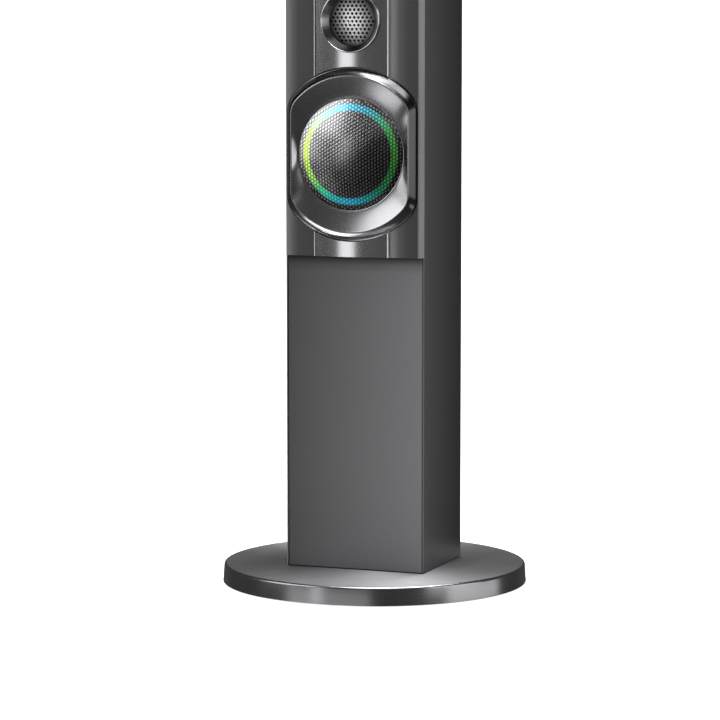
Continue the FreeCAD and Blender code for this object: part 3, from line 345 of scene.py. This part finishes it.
# painted shade: the tweeter's lip is darker toward the bottom
paintShadeAlong(lipTrim, 2, tweeterZ - lipReach, tweeterZ + lipReach,
     [(0.0, 0.6), (0.3, 0.7), (0.6, 1.0), (1.0, 1.0)])
# painted shade: the left trim line is darker than the right one
paintShadeAlong(brightTrim, 0, -halfWidth, halfWidth, [(0.0, 0.2), (0.22, 0.2), (0.27, 1.0), (1.0, 1.0)])
print("materials ready")


grille = {
    "pitch": 0.00365,       # hole to hole
    "rowsLevel": False,     # the rows of holes stand upright
    "hole": 0.00118,        # hole radius
    "sheet": 0.0006,        # steel thickness
    "edge": 0.0569,         # where the dome meets its rim
    "crown": 0.0090,        # dome height
    "seat": 0.0026,         # rim height above the baffle's face
    "stand": 0.0008,        # foot of the dome above the seat
    "rim": 0.0574,
}


def domeHeight(radius, edge, crown):
    # height of a spherical cap: sqrt(R^2 - r^2) less its value at the edge
    ball = (edge ** 2 + crown ** 2) / (2 * crown)
    return np.sqrt(ball ** 2 - np.minimum(radius, edge) ** 2) - (ball - crown)


def sheetFace(size):
    # height of the sheet's face at a radius: a shallow cap that stands on its seat
    return lambda radius: size["seat"] + size["stand"] + domeHeight(radius, size["edge"], size["crown"])


def perforatedSheet(name, centreZ, size, height):
    # one hexagonal cell per hole: an outer hexagon, the eased mouth of the hole, its wall and
    # the back of the sheet; every point past the edge is drawn in to the edge
    pitch, hole, edge, sheet = size["pitch"], size["hole"], size["edge"], size["sheet"]
    reach = int(edge / pitch * 1.2) + 2
    column, row = np.meshgrid(np.arange(-reach, reach + 1), np.arange(-reach, reach + 1))
    cx = (column * pitch * math.sqrt(3) / 2).ravel()
    cz = ((row + 0.5 * (column % 2)) * pitch).ravel()
    near = np.hypot(cx, cz) < edge + pitch * 0.55
    cx, cz = cx[near], cz[near]
    pierced = np.hypot(cx, cz) < edge - hole * 1.25
    corners, ease, closed = 12, 0.00012, 1e-5  # eased mouth, and radius of a hole that is left out
    turn = np.arange(corners) * 2 * math.pi / corners
    hexagon = np.where(np.arange(corners) % 2 == 0, pitch / math.sqrt(3), pitch / 2)
    mouth = np.where(pierced, hole + ease, closed)[:, None] * np.ones(corners)
    bore = np.where(pierced, hole, closed)[:, None] * np.ones(corners)
    whole = np.broadcast_to(hexagon, mouth.shape)
    rings = [(whole, 0.0), (mouth, 0.0), (bore, ease), (bore, sheet), (whole, sheet)]
    points = []
    for radius, depth in rings:
        x = cx[:, None] + radius * np.cos(turn)
        z = cz[:, None] + radius * np.sin(turn)
        if size["rowsLevel"]:
            x, z = z, x
        far = np.hypot(x, z)
        pull = np.minimum(1.0, edge / np.maximum(far, 1e-9))
        x, z = x * pull, z * pull
        points.append(toWorld(x, z, height(np.hypot(x, z)) - depth, centreZ))
    points = np.stack(points, axis=1)  # cell, ring, corner, xyz
    cells = len(cx)
    one = gridFaces(len(rings), corners, False, True)
    faces = (one[None] + (np.arange(cells) * len(rings) * corners)[:, None, None]).reshape(-1, 4)
    return newPiece(name, points, faces, smooth=False, weld=3e-6)


def joinPieces(pieces):
    keep = pieces[0]
    with bpy.context.temp_override(active_object=keep, selected_editable_objects=pieces):
        bpy.ops.object.join()
    return keep


def polarDome(name, centreZ, edge, height, rings=24, steps=96):
    # dome surface as a function of radius share and angle
    share = np.linspace(0, 1, rings)[:, None]
    turn = np.linspace(0, 2 * np.pi, steps, endpoint=False)[None, :]
    radius = share * edge * np.ones_like(turn)
    points = toWorld(radius * np.cos(turn), radius * np.sin(turn), height(radius), centreZ)
    return newPiece(name, points, gridFaces(rings, steps, False, True))


ringColours = [  # going round from the left side, anticlockwise seen from the front
    (0.0, "#b0cc40"), (0.08, "#8cc050"), (0.125, "#2a9a5a"), (0.18, "#0f8f8a"), (0.25, "#1e80a0"),
    (0.31, "#0c6c6c"), (0.375, "#125a35"), (0.44, "#20562a"), (0.5, "#2f6426"), (0.58, "#307e3c"),
    (0.625, "#389870"), (0.69, "#3ea2bc"), (0.75, "#50b8d4"), (0.80, "#5ab8cc"), (0.86, "#88b898"),
    (0.93, "#a4bc58"), (1.0, "#b0cc40"),
]


def ringGlow(tree, shader, strength, inner=0.77, outer=0.89):
    # glow of the ring: the lamp's own light on the diffuser, a painted glow on the mesh and cloth in front
    # of it; colour by angle, strength by distance from the axis
    coords = addNode(tree, "ShaderNodeTexCoord")
    centred = addNode(tree, "ShaderNodeMapping", {"Location": (-1.0, -1.0, 0.0), "Scale": (2.0, 2.0, 1.0)},
                      {"Vector": coords.outputs["UV"]})
    angle = addNode(tree, "ShaderNodeTexGradient", {"gradient_type": "RADIAL"},
                    {"Vector": centred.outputs[0]})
    colour = ramp(tree, angle.outputs["Fac"],
                  [(place, hexToLinear(code)) for place, code in ringColours])
    distance = addNode(tree, "ShaderNodeVectorMath", {"operation": "LENGTH"}, {0: centred.outputs[0]})
    band = ramp(tree, distance.outputs["Value"],
                greys([(0.0, 0), (inner - 0.01, 0), (inner + 0.015, 1),
                       (outer - 0.015, 1), (outer + 0.01, 0)]))
    level = addNode(tree, "ShaderNodeMath", {"operation": "MULTIPLY", 1: strength}, {0: band})
    tree.links.new(colour, shader.inputs["Emission Color"])
    tree.links.new(level.outputs[0], shader.inputs["Emission Strength"])
    # painted light: the band's base colour is tinted with the ring's colour too, so a white light doesn't
    # wash it out
    paintedTintShare = 0.6  # share of the ring's colour painted into the lit band
    plain = shader.inputs["Base Color"].links[0].from_socket
    paintedRingTint = addNode(tree, "ShaderNodeMix", {"data_type": "RGBA", "blend_type": "MIX"})
    share = addNode(tree, "ShaderNodeMath", {"operation": "MULTIPLY", 1: paintedTintShare}, {0: band})
    tree.links.new(share.outputs[0], paintedRingTint.inputs["Factor"])
    tree.links.new(plain, paintedRingTint.inputs["A"])
    tree.links.new(colour, paintedRingTint.inputs["B"])
    tree.links.new(paintedRingTint.outputs["Result"], shader.inputs["Base Color"])


def paintedShadeSlope(tree, colour, dark, light=1.0, across=-0.6, up=0.8, darkEnd=0.35, lightStart=0.66):
    # painted shade: the tone goes from dark to light along a direction of the flat map
    coords = addNode(tree, "ShaderNodeTexCoord")
    along = addNode(tree, "ShaderNodeVectorMath", {"operation": "DOT_PRODUCT", 1: (across, up, 0.0)},
                    {0: coords.outputs["UV"]})
    centre, reach = 0.5 * (across + up), 0.35
    share = addNode(tree, "ShaderNodeMapRange", {"From Min": centre - reach, "From Max": centre + reach},
                    {"Value": along.outputs["Value"]})
    tone = ramp(tree, share.outputs[0],
                greys([(0.0, dark), (darkEnd, dark * 1.3), (lightStart, light), (1.0, light)]), "EASE")
    return multiplied(tree, colour, tone)


def paintedLightSteel():
    # dark plated steel web between the holes, with painted shade to the lower right and a painted glow in
    # the ring's colour
    material, tree, shader = newMaterial("meshSteelPaintedLight", {"Metallic": 1.0, "Roughness": 0.22})
    colour, _ = mottled(tree, "#7e7e80", "#868688", 400.0)
    tree.links.new(paintedShadeSlope(tree, colour, 0.12), shader.inputs["Base Color"])
    ringGlow(tree, shader, 0.35)
    return material


def paintedLightCloth():
    # silvered acoustic cloth behind the holes: a fine weave, with painted shade to the lower right and a
    # painted glow for the ring's light shining through it
    material, tree, shader = newMaterial("silveredCloth", {"Metallic": 1.0, "Roughness": 0.3})
    weave = addNode(tree, "ShaderNodeTexChecker", {"Scale": 2600.0}, {"Vector": objectCoords(tree)})
    colour = ramp(tree, weave.outputs["Fac"], [(0.0, hexToLinear("#dededf")), (1.0, hexToLinear("#f4f4f5"))])
    tree.links.new(paintedShadeSlope(tree, colour, 0.25), shader.inputs["Base Color"])
    ringGlow(tree, shader, 1.5)
    return material


def glowingDiffuser():
    # frosted plastic lit from behind: an even coloured glow
    material, tree, shader = newMaterial("frostedDiffuser", {"Roughness": 0.5})
    colour, _ = mottled(tree, "#d8d8d6", "#e6e6e4", 900.0)
    tree.links.new(colour, shader.inputs["Base Color"])
    ringGlow(tree, shader, 1.0, 0.7, 0.95)
    return material


# butyl rubber: matt black roll; varnished cotton: amber weave
surroundRubber = plainFinish("surroundRubber", "#111112", "#1a1a1b", 0.5, 900, 0.00004)
spiderCloth = plainFinish("varnishedCloth", "#8a6a2c", "#b08a40", 0.8, 2200, 0.0002)
frostedDiffuser = glowingDiffuser()
meshSteelPaintedLight = paintedLightSteel()
silveredCloth = paintedLightCloth()


def makeGrille(name, centreZ):
    size = grille
    outside = sheetFace(size)
    sheet = perforatedSheet(name + "Grille", centreZ, size, outside)
    # the rolled edge of the sheet, a closed section round its seat
    roll = latheLoop(name + "GrilleRim", [
        (size["edge"] - 0.0006, size["seat"] + 0.0003), (size["rim"], size["seat"] + 0.0001),
        (size["rim"], size["seat"] + 0.0007), (size["rim"] - 0.0004, size["seat"] + 0.0012),
        (size["edge"] + 0.0004, size["seat"] + 0.0014), (size["edge"] - 0.0004, size["seat"] + 0.0012),
    ], centreZ, 144, 60)
    clothGap = 0.00005  # between the sheet and the cloth
    cloth = polarDome(name + "Cloth", centreZ, size["edge"] - 0.0004,
                      lambda radius: outside(radius) - size["sheet"] - clothGap)
    for piece, material in ((sheet, meshSteelPaintedLight), (roll, meshSteel), (cloth, silveredCloth)):
        piece.data.materials.append(material)
        planarMap(piece, centreZ, size["rim"])
    joined = joinPieces([sheet, roll, cloth])
    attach(joined, "cabinet")
    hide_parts(name + "_grille")
    return joined


for name, centreZ in wooferZ.items():
    makeGrille(name, centreZ)
print("woofer grilles ready")


bezel = {
    # outlines as (radius, half width, corner radius), metres
    "foot": (0.0875, 0.0700, 0.0260),
    "step": (0.0863, 0.0688, 0.0250),
    "crest": (0.0795, 0.0637, 0.0220),
    "inside": (0.0783, 0.0625, 0.0210),
    "mouth": 0.0577,
    "seat": -0.0010,
    "flange": 0.0015,
    "rise": 0.0085,
    "dishFloor": 0.0037,
    "mouthDrop": 0.0011,    # inner wall of the dish, down to the grille's seat
    "bore": 0.0555,
    "boreWall": 0.0030,
    "back": -0.0060,
    "bulge": 0.16,          # the flank is slightly full, as a casting is
    "fall": 1.2,            # power of the dish's curve: 1 is a cone, more is steeper at the crest
    "flankStart": 1.004,    # share of the crest's outline where the flank's finish starts
    "steps": 288,
}


def ovalRadius(angle, radius, halfWidth, corner):
    # distance from the centre to a circle with upright flats at its sides and round corners:
    # the flat gives halfWidth / cos, the corner is a circle tangent to both, the rest is the radius
    c, s = np.abs(np.cos(angle)), np.abs(np.sin(angle))
    inner = halfWidth - corner
    reach = math.sqrt((radius - corner) ** 2 - inner ** 2)
    along = inner * c + reach * s
    onCorner = along + np.sqrt(np.maximum(along ** 2 - inner ** 2 - reach ** 2 + corner ** 2, 0))
    flatEnd = math.atan2(reach, halfWidth)
    cornerEnd = math.atan2(reach, inner)
    place = np.arctan2(s, c)
    return np.where(place < flatEnd, halfWidth / np.maximum(c, 1e-6),
                    np.where(place < cornerEnd, onCorner, radius))


def paintedLightFlank():
    # smoked chrome of the flank, with painted highlights at the top and the foot and painted shade, nearly
    # black, along the sides
    material, tree, shader = newMaterial("flankChrome", {"Metallic": 1.0, "Roughness": 0.2})
    colour, _ = mottled(tree, "#a8a8aa", "#b4b4b6", 18.0)
    coords = addNode(tree, "ShaderNodeTexCoord")
    split = addNode(tree, "ShaderNodeSeparateXYZ", links={0: coords.outputs["UV"]})
    tone = ramp(tree, split.outputs["Y"],
                greys([(0.0, 1.0), (0.08, 0.8), (0.24, 0.12), (0.76, 0.12), (0.9, 0.08), (1.0, 0.5)]))
    tree.links.new(multiplied(tree, colour, tone), shader.inputs["Base Color"])
    return material


flankChrome = paintedLightFlank()


def makeBezel(name, centreZ):
    # section carried round the axis: each row is an outline blended between two of the ovals
    size = bezel
    turn = np.linspace(0, 2 * np.pi, size["steps"], endpoint=False)
    outline = {key: ovalRadius(turn, *size[key]) for key in ("foot", "step", "crest", "inside")}
    outline["mouth"] = np.full_like(turn, size["mouth"])
    rows = []

    def row(first, second, share, out):
        rows.append((outline[first] * (1 - share) + outline[second] * share, out))

    row("foot", "foot", 0, size["seat"])
    row("foot", "foot", 0, size["flange"] - 0.0004)
    row("foot", "step", 0.3, size["flange"] - 0.0001)
    row("foot", "step", 1.0, size["flange"])
    for share in np.linspace(0.06, 0.94, 12):
        full = share + size["bulge"] * math.sin(math.pi * share) * 0.5
        row("step", "crest", share, size["flange"] + (size["rise"] - size["flange"]) * min(full, 1.0) * 0.99)
    row("step", "crest", 1.0, size["rise"])
    row("crest", "inside", 0.5, size["rise"] + 0.00015)
    row("crest", "inside", 1.0, size["rise"] - 0.0001)
    for share in np.linspace(0.04, 1.0, 26):
        # the dish's depth is 1 - (1 - share)^fall: steep at the crest, flatter at the mouth
        fall = 1 - (1 - share) ** size["fall"]
        out = size["rise"] - 0.0001 - (size["rise"] - size["dishFloor"]) * fall
        row("inside", "mouth", share, out)
    row("mouth", "mouth", 0, size["dishFloor"] - size["mouthDrop"])
    bore = np.full_like(turn, size["bore"])
    rows.append((bore, size["dishFloor"] - size["mouthDrop"]))
    rows.append((bore, size["back"]))
    rows.append((bore + size["boreWall"], size["back"]))
    rows.append((bore + size["boreWall"], size["seat"]))
    radius = np.stack([r for r, _ in rows])
    out = np.array([o for _, o in rows])[:, None] * np.ones_like(turn)
    points = toWorld(radius * np.cos(turn), radius * np.sin(turn), out, centreZ)
    piece = newPiece(name + "Bezel", points, gridFaces(len(rows), size["steps"], True, True))
    sharpen(piece, 38)
    planarMap(piece, centreZ, size["foot"][0])

    def onFlank(centres):
        # everything outside the crest's outline
        angle = np.arctan2(centres[:, 2] - centreZ, centres[:, 0]) % (2 * np.pi)
        return fromAxis(centres, centreZ) > np.interp(angle, turn, outline["crest"] * size["flankStart"])

    giveFinishes(piece, [darkChrome, flankChrome], onFlank)
    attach(piece, "cabinet")
    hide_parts(name + "_bezel")


for name, centreZ in wooferZ.items():
    makeBezel(name, centreZ)
print("bezels ready")


tweeterDisc = {
    "pitch": 0.0045,
    "rowsLevel": True,
    "hole": 0.00132,
    "sheet": 0.0008,
    "edge": 0.0248,
    "crown": 0.0003,
    "seat": -0.0015,
    "stand": 0.0007,
}


def paintedLightNickelMesh():
    # bright nickel with a painted highlight in the middle and painted shade: black at the edge and darker to
    # the lower left
    material, tree, shader = newMaterial("nickelMesh", {"Metallic": 1.0, "Roughness": 0.16})
    colour, _ = mottled(tree, "#d8d8da", "#ececee", 200.0)
    tint = paintedShadeSlope(tree, colour, 0.35, 1.0, 0.85, 0.45, 0.1, 0.5)
    coords = addNode(tree, "ShaderNodeTexCoord")
    away = addNode(tree, "ShaderNodeVectorMath", {"operation": "DISTANCE", 1: (0.53, 0.5, 0.0)},
                   {0: coords.outputs["UV"]})
    tone = ramp(tree, away.outputs["Value"], greys([(0.0, 1.0), (0.18, 0.9), (0.4, 0.28), (0.5, 0.05)]))
    tree.links.new(multiplied(tree, tint, tone), shader.inputs["Base Color"])
    return material


def makeTweeterGrille():
    size = tweeterDisc
    sheet = perforatedSheet("tweeterGrille", tweeterZ, size, sheetFace(size))
    planarMap(sheet, tweeterZ, size["edge"])
    sheet.data.materials.append(paintedLightNickelMesh())
    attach(sheet, "cabinet")
    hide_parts("tweeter_grille")


makeTweeterGrille()
print("tweeter grille ready")


def reachOf(node):
    # how far a node stands in front of the baffle's face: its back and its front
    low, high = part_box(node)
    return faceY - high[1], faceY - low[1]


tweeterRim = {
    "outer": 0.0315,
    "land": 0.0013,         # width of the bright lip
    "rise": 0.0070,
    "grilleSeat": 0.0251,
    "inner": 0.0235,
    "plate": 0.0290,        # part that sits in the baffle
}


def makeTweeterRim():
    # a turned ring: plain outside, a rolled lip and a slope that falls in to the mesh
    size = tweeterRim
    back, _ = reachOf("tweeter_rim")
    lip = size["land"] / 2
    middleOfLip = (size["outer"] - lip, size["rise"] - lip)
    profile = [(size["inner"], -0.0015), (size["inner"], back), (size["plate"], back),
               (size["plate"], 0.0), (size["outer"], 0.0)]
    profile += arcPoints(middleOfLip, lip, 0, 150, 12)
    profile += [(size["grilleSeat"] + 0.0003, -0.0004), (size["grilleSeat"], -0.0008),
                (size["grilleSeat"], -0.0015)]
    piece = latheLoop("tweeterRim", profile, tweeterZ, 192, 35)
    lipStart = size["outer"] - size["land"] - 0.0002
    giveFinishes(piece, [tweeterSlope, lipTrim], lambda centres: fromAxis(centres, tweeterZ) > lipStart)
    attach(piece, "cabinet")
    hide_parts("tweeter_rim")


lightRing = {
    "inner": 0.0440,
    "outer": 0.0510,
    "edge": 0.0012,         # radius of the front edges
}


def makeLightRing(name, centreZ):
    # frosted ring over the lamps, its front edges rounded
    back, front = reachOf(name + "_light_ring")
    inner, outer, edge = lightRing["inner"], lightRing["outer"], lightRing["edge"]
    profile = [(inner, back), (outer, back)]
    profile += arcPoints((outer - edge, front - edge), edge, 0, 90, 6)
    profile += arcPoints((inner + edge, front - edge), edge, 90, 180, 6)
    piece = latheLoop(name + "LightRing", profile, centreZ, 144, 40)
    piece.data.materials.append(frostedDiffuser)
    planarMap(piece, centreZ, grille["rim"])
    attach(piece, "cabinet")
    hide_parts(name + "_light_ring")


def flexes(piece):
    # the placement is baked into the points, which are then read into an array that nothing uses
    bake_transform(piece)
    places = np.empty(len(piece.data.vertices) * 3)
    piece.data.vertices.foreach_get("co", places)


surround = {
    "wall": 0.0006,
    "inner": 0.0382,        # glued land on the cone
    "rollIn": 0.0401,
    "rollOut": 0.0460,
    "outer": 0.0485,        # lip glued to the frame
}


def makeSurround(name, centreZ):
    # half roll: glued land, roll, outer lip; the back face follows the same line a wall behind
    back, front = reachOf(name + "_surround")
    wall, inner, outer = surround["wall"], surround["inner"], surround["outer"]
    rollIn, rollOut = surround["rollIn"], surround["rollOut"]
    flat = back + wall
    rise = front - flat
    turn = np.radians(np.linspace(180, 0, 17))
    roll = [((rollIn + rollOut) / 2 + (rollOut - rollIn) / 2 * math.cos(a), flat + rise * math.sin(a))
            for a in turn]
    top = [(inner, flat)] + roll + [(outer, flat)]
    under = [(r, z - wall) for r, z in reversed(top)]
    piece = latheLoop(name + "Surround", top + under, centreZ, 128, 45)
    piece.data.materials.append(surroundRubber)
    flexes(piece)
    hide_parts(name + "_surround")


spider = {
    "inner": 0.0130,
    "outer": 0.0270,
    "waves": 6,
    "wall": 0.0003,
    "height": 0.0005,       # of a wave, from its middle
    "land": 0.0020,         # glued width at both edges
}


def makeSpider(name, centreZ):
    # corrugated cloth: height is a sine of the radius, from the coil to the rim
    back, front = reachOf(name + "_spider")
    inner, outer, wall = spider["inner"], spider["outer"], spider["wall"]
    waves, height = spider["waves"], spider["height"]
    radius = np.linspace(inner, outer, waves * 10 + 1)
    level = (back + front) / 2 + height * np.sin((radius - inner) / (outer - inner) * waves * 2 * np.pi)
    top = list(zip(radius, level + wall / 2))
    under = list(zip(radius[::-1], level[::-1] - wall / 2))
    piece = latheLoop(name + "Spider", top + under, centreZ, 96, 60)
    piece.data.materials.append(spiderCloth)
    flexes(piece)
    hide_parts(name + "_spider")


baseCover = {
    "radius": 0.1580,
    "draft": 0.0010,
    "rim": 0.0025,          # radius of the top edge
    "wall": 0.0025,
}


def makeBaseCover():
    # spun steel cover: straight skirt with a little draft, rolled edge, level top, hollow beneath
    size = baseCover
    low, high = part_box("base_cover")
    bottom, top = low[2], high[2]
    outer, wall, rim = size["radius"], size["wall"], size["rim"]
    shoulder = outer - size["draft"]
    profile = [(0.0, top - wall), (shoulder - wall - 0.001, top - wall), (outer - wall, bottom),
               (outer - 0.0003, bottom), (outer, bottom + 0.0003)]
    profile += arcPoints((shoulder - rim, top - rim), rim, 4, 90, 10)
    profile += [(radius, top) for radius in np.linspace(shoulder - rim - 0.001, 0.0, 14)]
    piece = spinUpright("baseCover", profile)

    def onTop(centres):
        # the level face inside the rolled edge
        return (centres[:, 2] > top - 1e-5) & (np.hypot(centres[:, 0], centres[:, 1]) < shoulder - rim)

    giveFinishes(piece, [edgeLacquer, baseLacquer], onTop)
    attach(piece, "cabinet")
    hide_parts("base_cover")


makeBaseCover()
makeTweeterRim()
for name, centreZ in wooferZ.items():
    makeLightRing(name, centreZ)
    makeSurround(name, centreZ)
    makeSpider(name, centreZ)
print("driver parts ready")


finishes = {
    "gunmetal_lacquer": sideLacquer,
    "panel_lacquer": panelLacquer,
    "bowed_aluminium": bowedAluminium,
    "bright_trim": brightTrim,
    "dark_chrome": darkChrome,
    "ballast_iron": plainFinish("castIron", "#232324", "#303031", 0.7, 400, 0.0003, 0.4),
    "foot_rubber": plainFinish("footRubber", "#141414", "#1e1e1e", 0.75, 700, 0.0001),
    "foam_seal": plainFinish("closedCellFoam", "#121212", "#1c1c1c", 0.9, 1500, 0.0003),
    "screw_steel": plainFinish("blackZincSteel", "#1d1d1f", "#2a2a2c", 0.35, 900, 0.00003, 0.9),
    "mdf_board": plainFinish("fibreboard", "#8a6a48", "#a5835c", 0.85, 900, 0.0001),
    "circuit_board": plainFinish("solderMask", "#0f2a1c", "#16382a", 0.4, 260, 0.00002),
    "driver_steel": plainFinish("blackPressedSteel", "#161617", "#202022", 0.42, 800, 0.00003, 0.5),
    "ferrite": plainFinish("sinteredFerrite", "#2b2b2d", "#39393b", 0.6, 1200, 0.00008, 0.2),
    "coil_copper": brushedMetal("coilCopper", "#a8623a", "#d08a58", 0.3, (60, 2600, 60)),
    "cone_paper": plainFinish("pressedPaper", "#17171a", "#26262a", 0.8, 1100, 0.0002),
    "cap_paper": plainFinish("coatedPaper", "#141416", "#1e1e21", 0.5, 900, 0.0001),
    "surround_rubber": surroundRubber,
    "spider_cloth": spiderCloth,
    "dome_silk": plainFinish("coatedSilk", "#0d0d0e", "#18181a", 0.5, 2600, 0.00005),
    "black_plastic": plainFinish("grainedPlastic", "#101011", "#19191a", 0.5, 1600, 0.00005),
    "capacitor_film": plainFinish("yellowTape", "#b98a1e", "#cf9f2c", 0.45, 300, 0.00003),
    "post_brass": brushedMetal("goldPlate", "#c8a050", "#e0bc6c", 0.22, (400, 400, 400)),
    "cap_red": plainFinish("redPlastic", "#8e0f12", "#a5161a", 0.35, 900, 0.00003),
    "cap_black": plainFinish("blackGlossPlastic", "#0d0d0e", "#151516", 0.35, 900, 0.00003),
    "light_diffuser": frostedDiffuser,
    "mesh_steel": meshSteel,
    "tweeter_mesh": tweeterMesh,
}
ownFinish = {"base_cover": baseLacquer, "baffle": baffleLacquer}
for name, node in nodes.items():
    slots = node.data.materials
    for number, slot in enumerate(slots):
        slots[number] = ownFinish.get(name) or finishes[slot.name.split(".")[0]]
print("finishes ready")


def makeStage():
    # a floor that sweeps up into a wall: level, then a quarter round, then upright
    start, bendStart, bend, wallTop, halfSpan = -4.0, 3.0, 1.5, 5.0, 6  # metres
    along = [(start, 0.0), (bendStart, 0.0)]
    along += [(bendStart + bend * math.sin(a), bend - bend * math.cos(a))
              for a in np.linspace(0, math.pi / 2, 16)[1:]]
    along.append((bendStart + bend, wallTop))
    path = np.array(along)
    across = np.linspace(-halfSpan, halfSpan, 2)
    points = np.stack([np.broadcast_to(across[:, None], (2, len(path))),
                       np.broadcast_to(path[:, 0], (2, len(path))),
                       np.broadcast_to(path[:, 1], (2, len(path)))], axis=-1)
    floor = newPiece("studioFloor", points, gridFaces(2, len(path), False, False))
    material, tree, shader = newMaterial("studioPaper", {"Base Color": grey(0.6), "Roughness": 0.9,
                                                         "Emission Color": grey(1.0),
                                                         "Emission Strength": 0.8})
    floor.data.materials.append(material)
    floor.visible_glossy = False  # the lacquer mirrors the lamps alone, as between black flags
    floor.visible_shadow = False
    # the same paper carried on all round, far out: it closes the view from any side
    outer = [(3.4, -0.002), (9.0, -0.002), (9.8, 0.8), (9.8, 9.0)]  # radius and height, metres
    steps = 96
    turn = np.linspace(0, 2 * np.pi, steps, endpoint=False)[:, None]
    radius, height = np.array(outer).T
    points = np.stack([radius * np.cos(turn), radius * np.sin(turn),
                       np.broadcast_to(height, (steps, len(outer)))], axis=-1)
    backdrop = newPiece("studioSurround", points, gridFaces(steps, len(outer), True, False))
    backdrop.data.materials.append(material)
    backdrop.visible_glossy = backdrop.visible_diffuse = backdrop.visible_shadow = False


def softbox(name, azimuth, elevation, width, height, glow, distance=3.0):
    # a softbox seen from the speaker, in degrees: azimuth 0 is straight in front and grows to its
    # right as one looks at it; glow is its brightness, and the distance is in metres
    target = Vector((0.0, 0.0, 0.40))
    a, e = math.radians(azimuth), math.radians(elevation)
    toward = Vector((math.sin(a) * math.cos(e), -math.cos(a) * math.cos(e), math.sin(e)))
    light = bpy.data.lights.new(name, "AREA")
    light.shape = "RECTANGLE"
    light.size, light.size_y = (2 * distance * math.tan(math.radians(side / 2)) for side in (width, height))
    wattsPerGlow = 4  # for each square metre of the box
    light.energy = glow * wattsPerGlow * light.size * light.size_y
    lamp = bpy.data.objects.new(name, light)
    lamp.location = target + toward * distance
    lamp.rotation_euler = toward.to_track_quat("Z", "Y").to_euler()
    lamp.visible_camera = False
    scene.collection.objects.link(lamp)


makeStage()
for name, *settings in (
    ("keySoftbox", -50, 26, 42, 30, 2.3),
    ("leftKey", -57, 3, 30, 14, 1.2),
    ("stripBox", -22.6, -2, 8, 22, 0.86),
    ("footLeft", -12, -31, 52, 8, 0.62, 0.82),
    ("footRight", 94, -31, 40, 8, 1.15, 0.82),
    ("lowCard", -38, -20, 12, 8, 2.2),
    ("highCard", 24, 16, 36, 8, 1.0),
    ("rightBox", 81, 5, 44, 21, 1.8),
    ("topBox", 112, 83, 56, 40, 10.5),
    ("floorCard", -97, -60, 34, 44, 3.0),
):
    softbox(name, *settings)

world = bpy.data.worlds.new("studioAir")
scene.world = world
world.use_nodes = True
world.node_tree.nodes["Background"].inputs["Color"].default_value = grey(1.0)
world.node_tree.nodes["Background"].inputs["Strength"].default_value = 0.09

view = {
    "place": (1.145, -3.059, 0.580),
    "turn": 20.79,     # degrees to the left of straight ahead
    "tilt": 6.10,      # degrees down
    "lens": 158.3,     # millimetres on a 36 mm wide sensor
}
cameraData = bpy.data.cameras.new("productCamera")
cameraData.lens = view["lens"]
cameraData.sensor_width = 36.0
cameraData.clip_end = 50.0
camera = bpy.data.objects.new("productCamera", cameraData)
camera.location = view["place"]
camera.rotation_euler = (math.radians(90 - view["tilt"]), 0, math.radians(view["turn"]))
scene.collection.objects.link(camera)
scene.camera = camera
print("stage ready")
